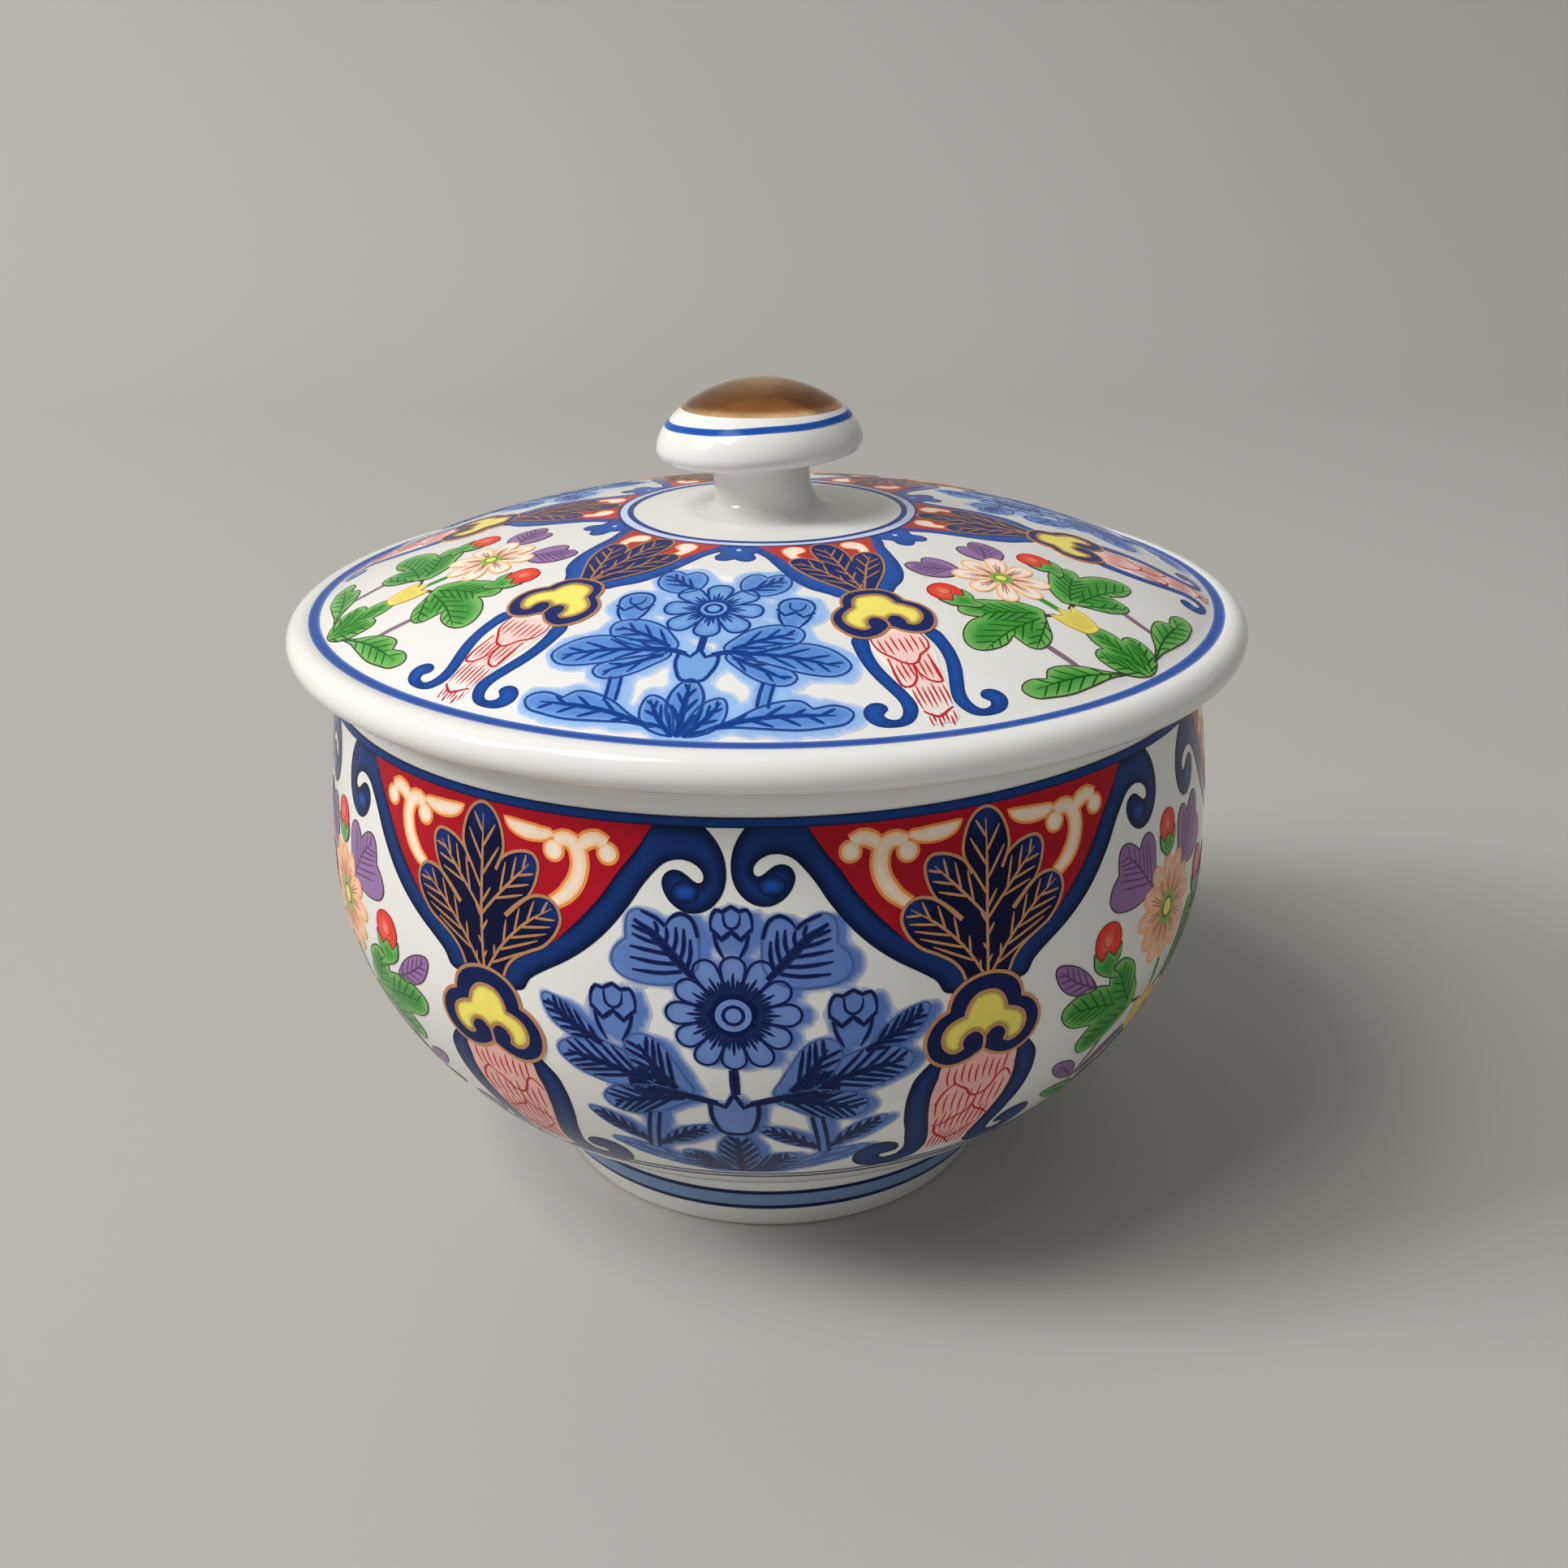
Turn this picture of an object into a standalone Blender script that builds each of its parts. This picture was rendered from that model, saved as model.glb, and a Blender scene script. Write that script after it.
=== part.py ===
"""Lidded tea bowl in glazed porcelain, modelled the way it is made and used.

Three pieces: the bowl with its turned foot ring, the lid with its rolled edge and locating
collar, and the knob, which is formed by itself and stuck on the lid with slip. The lid lifts
straight off. Metres, +Z up, with the origin under the middle of the foot ring.
"""

import math

import bpy

# Bowl, outside
BOWL_HEIGHT = 0.0650  # table to the top of the rim
RIM_RADIUS = 0.0482  # outside of the wall where the rim starts to round over
RIM_LEAN_DEG = 6.5  # how far the wall leans inwards at the rim
RIM_HANDLE = 0.0075  # reach of the wall's curve below the rim
BELLY_RADIUS = 0.0506  # outside of the widest place
BELLY_HEIGHT = 0.0399  # height of the widest place
BELLY_HANDLE_UP = 0.0100  # reach of the curve above the widest place
BELLY_HANDLE_DOWN = 0.0100  # reach of the curve below the widest place
UNDERSIDE_SLOPE_DEG = 28.8  # slope of the underside where it leaves the foot
UNDERSIDE_HANDLE = 0.0139  # reach of the curve out from the foot

# Foot ring
FOOT_HEIGHT = 0.0096  # table to where the ring meets the underside
FOOT_BOTTOM_RADIUS = 0.0268  # outside of the ring at the table
FOOT_TOP_RADIUS = 0.0310  # outside of the ring at the underside
FOOT_WALL = 0.0030  # thickness of the ring
FOOT_RECESS = 0.0062  # depth of the hollow inside the ring
FOOT_EDGE = 0.0008  # rounding of the ring's two lower edges
FOOT_FILLET = 0.0016  # rounding where the ring meets the bowl and the base

# Bowl, inside
RIM_WALL = 0.0029  # wall at the rim
BELLY_WALL = 0.0034  # wall at the widest place
FLOOR_THICKNESS = 0.0046  # base between the hollow of the foot and the inside
FLOOR_HANDLE = 0.0340  # reach of the inside curve along the floor
INSIDE_HANDLE = 0.0145  # reach of the inside curve below the widest place

# Lid
SEAT_GAP = 0.0003  # between the rim and the lid's seat
LID_OVERHANG = 0.00485  # lid's edge beyond the bowl's wall
LID_RISE = 0.0124  # seat to the crown of the dome
DOME_RADIUS = 0.0500  # distance from the axis at which the dome's fall is measured
DOME_FALL = 0.0093  # fall of the dome from the crown to that distance
DOME_POWER = 2.7  # 2 falls like a round dome, more keeps the crown flatter
LID_WALL = 0.0031  # thickness of the dome, measured upright
EDGE_RADIUS = 0.0020  # radius of the rolled edge
EDGE_HEIGHT = 0.00125  # centre of the rolled edge above the seat
EDGE_BLEND = 0.0050  # width over which the dome turns up into the rolled edge
EDGE_START_DEG = 105  # where on the rolled edge the dome joins it, from the outward direction
SEAT_MARGIN = 0.0009  # flat seat beyond the bowl's wall
COLLAR_CLEARANCE = 0.0008  # between the locating collar and the inside of the rim
COLLAR_WALL = 0.0026  # thickness of the collar
COLLAR_DEPTH = 0.0055  # collar below the seat
COLLAR_FILLET = 0.0020  # rounding between the collar and the dome's inside

# Knob
SLIP_GAP = 0.0003  # layer of slip between the knob and the lid
KNOB_RISE = 0.0141  # crown of the lid to the top of the knob
KNOB_RADIUS = 0.0114  # widest place of the cap
CAP_RISE = 0.0069  # widest place to the top of the cap
CAP_POWER = 1.75  # 2 makes the cap a plain oval, less makes it more pointed
CAP_EDGE = 0.0013  # rounding under the widest place
STEM_RADIUS = 0.00535  # narrowest place of the stem
STEM_WAIST = 0.0034  # height of the narrowest place above the crown of the lid
STEM_FLARE = 0.0021  # how far the stem spreads where it meets the lid
KNOB_LEAN_DEG = 3.0  # the knob was set by hand and leans towards -X
KNOB_OFFSET = 0.0004  # and stands this far off the axis, towards -X

# Facets
TURNED_STEPS = 60
KNOB_STEPS = 36
CURVE_STEPS = 4
ARC_STEPS = 3

PORCELAIN_WHITE = (0.86, 0.87, 0.86, 1.0)
GLAZE_ROUGHNESS = 0.12
GILT = (0.80, 0.55, 0.20, 1.0)
GILT_ROUGHNESS = 0.30
GILT_METALLIC = 0.6


def polar(angle_deg):
    """Unit vector in the profile's plane, at an angle from the outward direction."""
    angle = math.radians(angle_deg)
    return (math.cos(angle), math.sin(angle))


def step_along(point, direction, distance):
    return (point[0] + direction[0] * distance, point[1] + direction[1] * distance)


def bezier(start, start_handle, end_handle, end, steps=CURVE_STEPS):
    """Points of a cubic curve, both ends included."""
    points = []
    for i in range(steps + 1):
        t = i / steps
        weights = ((1 - t) ** 3, 3 * t * (1 - t) ** 2, 3 * t * t * (1 - t), t**3)
        corners = (start, start_handle, end_handle, end)
        points.append(
            tuple(sum(w * c[axis] for w, c in zip(weights, corners)) for axis in (0, 1))
        )
    return points


def arc(centre, radius_out, radius_up, from_deg, to_deg, steps=ARC_STEPS):
    """Points of a round or oval arc, both ends included."""
    points = []
    for i in range(steps + 1):
        out, up = polar(from_deg + (to_deg - from_deg) * i / steps)
        points.append((centre[0] + radius_out * out, centre[1] + radius_up * up))
    return points


def pointed_arc(centre, radius_out, radius_up, power, steps):
    """Points of a quarter oval from its top to its widest place, more or less pointed."""
    points = []
    for i in range(steps + 1):
        out, up = polar(90 - 90 * i / steps)
        share = (abs(out) ** power + abs(up) ** power) ** (1 / power)
        points.append((centre[0] + radius_out * out / share, centre[1] + radius_up * up / share))
    return points


def rounded(before, corner, after, reach, steps=ARC_STEPS):
    """A corner between two points, eased over at most half of each side."""
    sides = []
    for other in (before, after):
        length = math.hypot(other[0] - corner[0], other[1] - corner[1])
        share = min(reach / length, 0.5)
        sides.append(tuple(c + (o - c) * share for c, o in zip(corner, other)))
    return bezier(sides[0], corner, corner, sides[1], steps)


def dome_fall(radius):
    """How far the dome lies below its crown at a distance from the axis."""
    return DOME_FALL * (radius / DOME_RADIUS) ** DOME_POWER


def dome_points(from_radius, to_radius, crown, steps=CURVE_STEPS):
    points = []
    for i in range(steps + 1):
        radius = from_radius + (to_radius - from_radius) * i / steps
        points.append((radius, crown - dome_fall(radius)))
    return points


def without_doubles(points):
    kept = [points[0]]
    for point in points[1:]:
        if math.dist(point, kept[-1]) > 1e-6:
            kept.append(point)
    return kept


def turned(name, profile, steps, material, parent=None):
    """Solid turned about Z from a profile that starts and ends on the axis."""
    points = without_doubles(profile)
    mesh = bpy.data.meshes.new(name)
    edges = [(i, i + 1) for i in range(len(points) - 1)]
    mesh.from_pydata([(radius, 0.0, height) for radius, height in points], edges, [])
    piece = bpy.data.objects.new(name, mesh)
    bpy.context.scene.collection.objects.link(piece)
    screw = piece.modifiers.new("turn", "SCREW")
    screw.axis = "Z"
    screw.angle = math.tau
    screw.steps = steps
    screw.render_steps = steps
    screw.use_merge_vertices = True
    screw.merge_threshold = 1e-6
    screw.use_smooth_shade = True
    if material:
        mesh.materials.append(material)
    piece.parent = parent
    return piece


def glaze(name, colour, roughness, metallic):
    material = bpy.data.materials.new(name)
    material.use_nodes = True
    shader = material.node_tree.nodes["Principled BSDF"]
    shader.inputs["Base Color"].default_value = colour
    shader.inputs["Roughness"].default_value = roughness
    shader.inputs["Metallic"].default_value = metallic
    return material


def bowl_inside():
    """Inside of the bowl, from the middle of the floor up to the rim."""
    floor = (0.0, FOOT_RECESS + FLOOR_THICKNESS)
    belly = (BELLY_RADIUS - BELLY_WALL, BELLY_HEIGHT)
    rim = (RIM_RADIUS - RIM_WALL, BOWL_HEIGHT - RIM_WALL / 2)
    rim_down = polar(RIM_LEAN_DEG - 90)
    lower = bezier(
        floor,
        step_along(floor, polar(0), FLOOR_HANDLE),
        step_along(belly, polar(-90), INSIDE_HANDLE),
        belly,
        2 * CURVE_STEPS,
    )
    upper = bezier(
        belly,
        step_along(belly, polar(90), BELLY_HANDLE_UP),
        step_along(rim, rim_down, RIM_HANDLE),
        rim,
    )
    return lower + upper


def bowl_outside():
    """Outside of the bowl, from the rim down to the foot ring."""
    rim = (RIM_RADIUS, BOWL_HEIGHT - RIM_WALL / 2)
    belly = (BELLY_RADIUS, BELLY_HEIGHT)
    foot_top = (FOOT_TOP_RADIUS, FOOT_HEIGHT)
    upper = bezier(
        rim,
        step_along(rim, polar(RIM_LEAN_DEG - 90), RIM_HANDLE),
        step_along(belly, polar(90), BELLY_HANDLE_UP),
        belly,
    )
    lower = bezier(
        belly,
        step_along(belly, polar(-90), BELLY_HANDLE_DOWN),
        step_along(foot_top, polar(UNDERSIDE_SLOPE_DEG), UNDERSIDE_HANDLE),
        foot_top,
        2 * CURVE_STEPS,
    )
    return upper + lower


def foot_ring(underside_point):
    """Foot ring: its taper, the flat that stands on the table, and the hollow inside it."""
    top = (FOOT_TOP_RADIUS, FOOT_HEIGHT)
    outer = (FOOT_BOTTOM_RADIUS, 0.0)
    inner = (FOOT_BOTTOM_RADIUS - FOOT_WALL, 0.0)
    taper = (FOOT_TOP_RADIUS - FOOT_BOTTOM_RADIUS) / FOOT_HEIGHT
    ceiling = (inner[0] + taper * FOOT_RECESS / 2, FOOT_RECESS)
    middle = (0.0, FOOT_RECESS)
    return (
        rounded(underside_point, top, outer, FOOT_FILLET)
        + rounded(top, outer, inner, FOOT_EDGE)
        + rounded(outer, inner, ceiling, FOOT_EDGE)
        + rounded(inner, ceiling, middle, FOOT_FILLET)
        + [middle]
    )


def make_bowl(material):
    rim_round = RIM_WALL / 2
    rim_centre = (RIM_RADIUS - rim_round, BOWL_HEIGHT - rim_round)
    rim = arc(rim_centre, rim_round, rim_round, 180, 0, 2 * ARC_STEPS)
    outside = bowl_outside()
    profile = bowl_inside() + rim + outside[:-1] + foot_ring(outside[-2])
    return turned("bowl", profile, TURNED_STEPS, material)


def seat_height():
    return BOWL_HEIGHT + SEAT_GAP


def crown_height():
    return seat_height() + LID_RISE


def lid_top():
    """Top of the lid, from the crown out to the underside of the rolled edge."""
    edge_centre = (RIM_RADIUS + LID_OVERHANG - EDGE_RADIUS, seat_height() + EDGE_HEIGHT)
    edge = arc(edge_centre, EDGE_RADIUS, EDGE_RADIUS, EDGE_START_DEG, -110, 4 * ARC_STEPS)
    dome_end = edge_centre[0] - EDGE_BLEND
    dome = dome_points(0.0, dome_end, crown_height(), 2 * CURVE_STEPS)
    slope = math.degrees(math.atan(DOME_POWER * dome_fall(dome_end) / dome_end))
    blend = bezier(
        dome[-1],
        step_along(dome[-1], polar(-slope), EDGE_BLEND / 2),
        step_along(edge[0], polar(EDGE_START_DEG + 90), EDGE_BLEND / 4),
        edge[0],
        ARC_STEPS,
    )
    return dome + blend + edge


def lid_underside():
    """Underside of the lid, from the rolled edge in to the axis."""
    seat = seat_height()
    seat_edge = (RIM_RADIUS + SEAT_MARGIN, seat)
    collar_outer = RIM_RADIUS - RIM_WALL - COLLAR_CLEARANCE
    collar_inner = collar_outer - COLLAR_WALL
    collar_round = COLLAR_WALL / 2
    collar_end = (collar_outer - collar_round, seat - COLLAR_DEPTH + collar_round)
    inside = dome_points(collar_inner, 0.0, crown_height() - LID_WALL, 2 * CURVE_STEPS)
    return (
        [seat_edge, (collar_outer, seat)]
        + arc(collar_end, collar_round, collar_round, 0, -180, 2 * ARC_STEPS)
        + rounded((collar_inner, collar_end[1]), inside[0], inside[1], COLLAR_FILLET)
        + inside[1:]
    )


def make_lid(material, parent):
    return turned("lid", lid_top() + lid_underside(), TURNED_STEPS, material, parent)


def knob_profile(sink):
    """Knob about its own axis, with height 0 at the crown of the lid."""
    widest = (KNOB_RADIUS, KNOB_RISE - CAP_RISE)
    edge_centre = (KNOB_RADIUS - CAP_EDGE, widest[1])
    cap = pointed_arc((0.0, widest[1]), KNOB_RADIUS, CAP_RISE, CAP_POWER, 2 * CURVE_STEPS)
    edge = arc(edge_centre, CAP_EDGE, CAP_EDGE, 0, -100)
    waist = (STEM_RADIUS, STEM_WAIST)
    foot = (STEM_RADIUS + STEM_FLARE, 0.0)
    under_cap = bezier(
        edge[-1],
        step_along(edge[-1], polar(170), KNOB_RADIUS - STEM_RADIUS - CAP_EDGE),
        step_along(waist, polar(90), (edge[-1][1] - STEM_WAIST) / 2),
        waist,
    )
    flare = bezier(
        waist,
        step_along(waist, polar(-90), STEM_WAIST / 2),
        step_along(foot, polar(150), STEM_FLARE / 2),
        foot,
        ARC_STEPS,
    )
    return cap + edge + under_cap + flare + [(foot[0], -sink), (0.0, -sink)]


def make_knob(material, parent):
    """Knob on the lid's crown, cut to the dome so that only the slip lies between them."""
    foot_radius = STEM_RADIUS + STEM_FLARE
    lean = math.radians(KNOB_LEAN_DEG)
    reach = 2 * foot_radius
    sink = foot_radius * math.tan(lean) + SLIP_GAP + dome_fall(reach)
    knob = turned("lid_knob", knob_profile(sink), KNOB_STEPS, material, parent)
    knob.location = (-KNOB_OFFSET, 0.0, crown_height())
    knob.rotation_euler = (0.0, -lean, 0.0)
    seat_top = dome_points(0.0, reach, crown_height() + SLIP_GAP)
    seat_floor = crown_height() - foot_radius
    cutter_profile = seat_top + [(reach, seat_floor), (0.0, seat_floor)]
    cutter = turned("knob_seat_cutter", cutter_profile, KNOB_STEPS, None, parent)
    # Half a facet of turn keeps the cutter's edges off the stem's edges.
    cutter.rotation_euler.z = math.pi / KNOB_STEPS
    cutter.hide_render = True
    cutter.display_type = "WIRE"
    cut = knob.modifiers.new("seat", "BOOLEAN")
    cut.operation = "DIFFERENCE"
    cut.object = cutter
    return knob


def main():
    for old in list(bpy.data.objects):
        bpy.data.objects.remove(old, do_unlink=True)
    white = glaze("white_glaze", PORCELAIN_WHITE, GLAZE_ROUGHNESS, 0.0)
    lid_white = glaze("lid_glaze", PORCELAIN_WHITE, GLAZE_ROUGHNESS, 0.0)
    gilt = glaze("gilt_knob", GILT, GILT_ROUGHNESS, GILT_METALLIC)
    make_bowl(white)
    lid_axis = bpy.data.objects.new("lid_axis", None)
    bpy.context.scene.collection.objects.link(lid_axis)
    make_lid(lid_white, lid_axis)
    make_knob(gilt, lid_axis)


main()
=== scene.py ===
# %% [markdown]
# # A lidded tea bowl in painted porcelain
# The real bowl is thrown or pressed in white clay, turned on its foot, glazed, and painted in
# cobalt blue, enamel colours and gold. This lesson follows the same order. The solids of the
# model give the sizes, Geometry Nodes turn the porcelain, and the painting is drawn flat, as on
# a sheet of transfer paper, and then wrapped round the ware as thin coats of colour.

import math

import bpy
import numpy as np
from mathutils import Matrix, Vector
from mathutils.geometry import delaunay_2d_cdt


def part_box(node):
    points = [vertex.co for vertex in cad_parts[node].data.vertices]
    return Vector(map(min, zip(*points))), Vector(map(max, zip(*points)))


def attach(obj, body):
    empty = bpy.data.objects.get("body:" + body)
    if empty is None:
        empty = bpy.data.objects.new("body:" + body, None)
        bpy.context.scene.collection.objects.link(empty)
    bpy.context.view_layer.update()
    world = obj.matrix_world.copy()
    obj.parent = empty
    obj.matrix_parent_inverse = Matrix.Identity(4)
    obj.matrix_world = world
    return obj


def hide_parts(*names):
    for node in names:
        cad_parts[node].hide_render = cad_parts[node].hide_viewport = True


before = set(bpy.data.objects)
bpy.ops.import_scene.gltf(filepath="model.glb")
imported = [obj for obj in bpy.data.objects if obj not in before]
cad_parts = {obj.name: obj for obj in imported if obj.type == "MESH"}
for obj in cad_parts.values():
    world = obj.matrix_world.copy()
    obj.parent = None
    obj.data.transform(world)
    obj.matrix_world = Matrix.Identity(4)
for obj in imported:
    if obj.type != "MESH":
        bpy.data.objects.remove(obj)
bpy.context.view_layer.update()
MM = 0.001
TINY = 1e-6
BOWL_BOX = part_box("bowl")
LID_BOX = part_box("lid")
KNOB_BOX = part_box("lid_knob")
BOWL_HEIGHT = BOWL_BOX[1].z / MM
BELLY_RADIUS = BOWL_BOX[1].x / MM
LID_RADIUS = LID_BOX[1].x / MM
CROWN_HEIGHT = LID_BOX[1].z / MM
KNOB_TOP = KNOB_BOX[1].z / MM
print(f"bowl {BOWL_HEIGHT:.1f} mm high, lid {2 * LID_RADIUS:.1f} mm across, knob top {KNOB_TOP:.1f} mm")

# %% [markdown]
# A node tree is easier to read as a formula than as a picture of wires. One small class wraps a
# socket, so that adding or multiplying two of them adds the Math node that does it. One method
# makes every other node: its type, what goes into its sockets, and its settings. It gives back the
# node's first output, and square brackets pick another.

# %% Sockets that can be calculated with
class Wire:
    """An output of a node. Calculating with it adds the Math nodes that do the same."""

    def __init__(self, bench, node, socket):
        self.bench = bench
        self.node = node
        self.socket = socket

    def __getitem__(self, name):
        """Another output of the same node."""
        return Wire(self.bench, self.node, self.node.outputs[name])

    def __neg__(self):
        return self.maths("MULTIPLY", -1.0)

    def maths(self, operation, *others):
        return self.bench.maths(operation, self, *others)


def operator(operation, swapped):
    def method(self, other):
        terms = (other, self) if swapped else (self, other)
        return self.bench.maths(operation, *terms)

    return method


for word, operation in (("add", "ADD"), ("sub", "SUBTRACT"), ("mul", "MULTIPLY"), ("truediv", "DIVIDE")):
    setattr(Wire, f"__{word}__", operator(operation, False))
    setattr(Wire, f"__r{word}__", operator(operation, True))


class Bench:
    """A node tree with one method that makes nodes, and short names for the commonest ones."""

    def __init__(self, tree):
        self.tree = tree

    def node(self, kind, values=None, **settings):
        node = self.tree.nodes.new(kind)
        for key, value in settings.items():
            setattr(node, key, value)
        for key, value in (values or {}).items():
            if isinstance(value, Wire):
                self.tree.links.new(value.socket, node.inputs[key])
            else:
                node.inputs[key].default_value = value
        return Wire(self, node, next((o for o in node.outputs if o.enabled), None))

    def maths(self, operation, *terms):
        return self.node("ShaderNodeMath", dict(enumerate(terms)), operation=operation)

    def parts(self, vector):
        return self.node("ShaderNodeSeparateXYZ", {0: vector})

    def vector(self, x=0.0, y=0.0, z=0.0):
        return self.node("ShaderNodeCombineXYZ", {0: x, 1: y, 2: z})

    def here(self):
        return self.node("GeometryNodeInputPosition")

    def moved(self, geometry, place):
        return self.node("GeometryNodeSetPosition", {"Geometry": geometry, "Position": place})

    def welded(self, geometry):
        return self.node("GeometryNodeMergeByDistance", {"Geometry": geometry, "Distance": TINY})


print("node helpers ready")

# %% [markdown]
# Every turned piece starts as a profile: half of its outline, in millimetres, as distance from
# the axis and height. Smooth parts are cubic curves between a few measured points. Rims and
# edges are arcs.

# %% Curves for the profiles
SAME_POINT = 1e-4


def polar(angle_deg):
    angle = math.radians(angle_deg)
    return np.array((math.cos(angle), math.sin(angle)))


def sweep(start, start_handle, end_handle, end, steps):
    """A cubic curve from its two ends and its two handles."""
    corners = np.array((start, start_handle, end_handle, end), float)
    t = np.linspace(0.0, 1.0, steps + 1)
    weights = np.stack(((1 - t) ** 3, 3 * t * (1 - t) ** 2, 3 * t * t * (1 - t), t**3), 1)
    return weights @ corners


def arc(centre, radius, from_deg, to_deg, steps=14):
    angles = np.linspace(from_deg, to_deg, steps + 1)
    return np.array([np.array(centre) + polar(a) * radius for a in angles])


def eased(before, corner, after, reach, steps=8):
    """A corner that is rounded over up to the reach on both sides."""
    before, corner, after = (np.array(p, float) for p in (before, corner, after))
    sides = []
    for other in (before, after):
        length = np.linalg.norm(other - corner)
        sides.append(corner + (other - corner) * min(reach / length, 0.5))
    return sweep(sides[0], corner, corner, sides[1], steps)


def joined(*runs):
    """Runs of points as one, without points that fall together."""
    points = np.vstack(runs)
    apart = np.linalg.norm(np.diff(points, axis=0), axis=1) > SAME_POINT
    return points[np.concatenate(([True], apart))]


def runs_of(profile):
    """Length along a profile at each of its points."""
    return np.concatenate(([0.0], np.cumsum(np.linalg.norm(np.diff(profile, axis=0), axis=1))))


print("profile helpers ready")

# %% [markdown]
# The bowl swells to its widest place a little above the middle and draws in to a foot ring. The
# foot tapers towards the table and is hollow underneath, as a trimmed foot is. A handle is the
# reach of a curve from its end.

# %% Profile of the bowl
RIM_WALL = 2.9
RIM_RADIUS = BELLY_RADIUS - 2.4
RIM_LEAN = 6.5
RIM_HANDLE = 7.5
BELLY_AT = 39.9
BELLY_WALL = 3.4
BELLY_HANDLE = 10.0
UNDERSIDE_SLOPE = 28.8
UNDERSIDE_HANDLE = 13.9
FLOOR = 10.8
FLOOR_HANDLE = 34.0
INSIDE_HANDLE = 14.5
FOOT_TOP = np.array((31.0, 9.6))
FOOT_BOTTOM = np.array((26.8, 0.0))
FOOT_INNER = FOOT_BOTTOM - (3.0, 0)
FOOT_HOLLOW = np.array((FOOT_INNER[0] + 1.36, 6.2))
FOOT_FILLET = 1.6
FOOT_EDGE = 0.8
FILLET_POINTS = 6


def bowl_outside():
    rim = np.array((RIM_RADIUS, BOWL_HEIGHT - RIM_WALL / 2))
    belly = np.array((BELLY_RADIUS, BELLY_AT))
    below_rim = rim + polar(RIM_LEAN - 90) * RIM_HANDLE
    upper = sweep(rim, below_rim, belly + (0, BELLY_HANDLE), belly, 60)
    out_from_foot = FOOT_TOP + polar(UNDERSIDE_SLOPE) * UNDERSIDE_HANDLE
    lower = sweep(belly, belly - (0, BELLY_HANDLE), out_from_foot, FOOT_TOP, 90)
    return joined(upper, lower)


def bowl_inside():
    floor = np.array((0.0, FLOOR))
    belly = np.array((BELLY_RADIUS - BELLY_WALL, BELLY_AT))
    rim = np.array((RIM_RADIUS - RIM_WALL, BOWL_HEIGHT - RIM_WALL / 2))
    lower = sweep(floor, floor + (FLOOR_HANDLE, 0), belly - (0, INSIDE_HANDLE), belly, 60)
    below_rim = rim + polar(RIM_LEAN - 90) * RIM_HANDLE
    upper = sweep(belly, belly + (0, BELLY_HANDLE), below_rim, rim, 30)
    return joined(lower, upper)


def foot_outside(wall_end):
    fillet = eased(wall_end, FOOT_TOP, FOOT_BOTTOM, FOOT_FILLET)
    return joined(fillet, eased(FOOT_TOP, FOOT_BOTTOM, FOOT_INNER, FOOT_EDGE))


def foot_inside():
    middle = FOOT_HOLLOW * (0, 1)
    edge = eased(FOOT_BOTTOM, FOOT_INNER, FOOT_HOLLOW, FOOT_EDGE)
    return joined(edge, eased(FOOT_INNER, FOOT_HOLLOW, middle, FOOT_FILLET), [middle])


rim_round = RIM_WALL / 2
rim_arc = arc((RIM_RADIUS - rim_round, BOWL_HEIGHT - rim_round), rim_round, 180, 0)
wall = bowl_outside()
BOWL_WALL = joined(wall[:-FILLET_POINTS], foot_outside(wall[-FILLET_POINTS]))
BOWL_PROFILE = joined(bowl_inside(), rim_arc, BOWL_WALL, foot_inside())
WALL_RUNS = runs_of(BOWL_WALL)
print(f"bowl profile: {len(BOWL_PROFILE)} points, painted wall {WALL_RUNS[-1]:.1f} mm from rim to table")

# %% [markdown]
# The lid is a low dome, almost flat at the crown, that turns up into a thick rolled edge. The
# edge overhangs the bowl. Underneath, a collar drops inside the rim and keeps the lid centred.

# %% Profile of the lid
SEAT = BOWL_HEIGHT + 0.3
SEAT_MARGIN = 0.9
SEAT_ROUND = 0.6
DOME_FALL = 9.3
DOME_RADIUS = 50.0
DOME_POWER = 2.7
LID_WALL = 3.1
EDGE_RADIUS = 2.0
EDGE_HEIGHT = 1.25
EDGE_BLEND = 5.0
EDGE_START = 105
EDGE_END = -110
COLLAR_OUTER = RIM_RADIUS - RIM_WALL - 0.8
COLLAR_WALL = 2.6
COLLAR_DEPTH = 5.5
COLLAR_FILLET = 2.0
FILLET_START = 3


def dome(from_radius, to_radius, crown, steps):
    radii = np.linspace(from_radius, to_radius, steps + 1)
    return np.stack((radii, crown - DOME_FALL * (radii / DOME_RADIUS) ** DOME_POWER), 1)


def lid_top():
    centre = np.array((LID_RADIUS - EDGE_RADIUS, SEAT + EDGE_HEIGHT))
    edge = arc(centre, EDGE_RADIUS, EDGE_START, EDGE_END, 28)
    top = dome(0.0, centre[0] - EDGE_BLEND, CROWN_HEIGHT, 80)
    fall = CROWN_HEIGHT - top[-1][1]
    slope = math.degrees(math.atan(DOME_POWER * fall / top[-1][0]))
    out_of_dome = top[-1] + polar(-slope) * EDGE_BLEND / 2
    into_edge = edge[0] + polar(EDGE_START + 90) * EDGE_BLEND / 4
    return joined(top, sweep(top[-1], out_of_dome, into_edge, edge[0], 16), edge)


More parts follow.
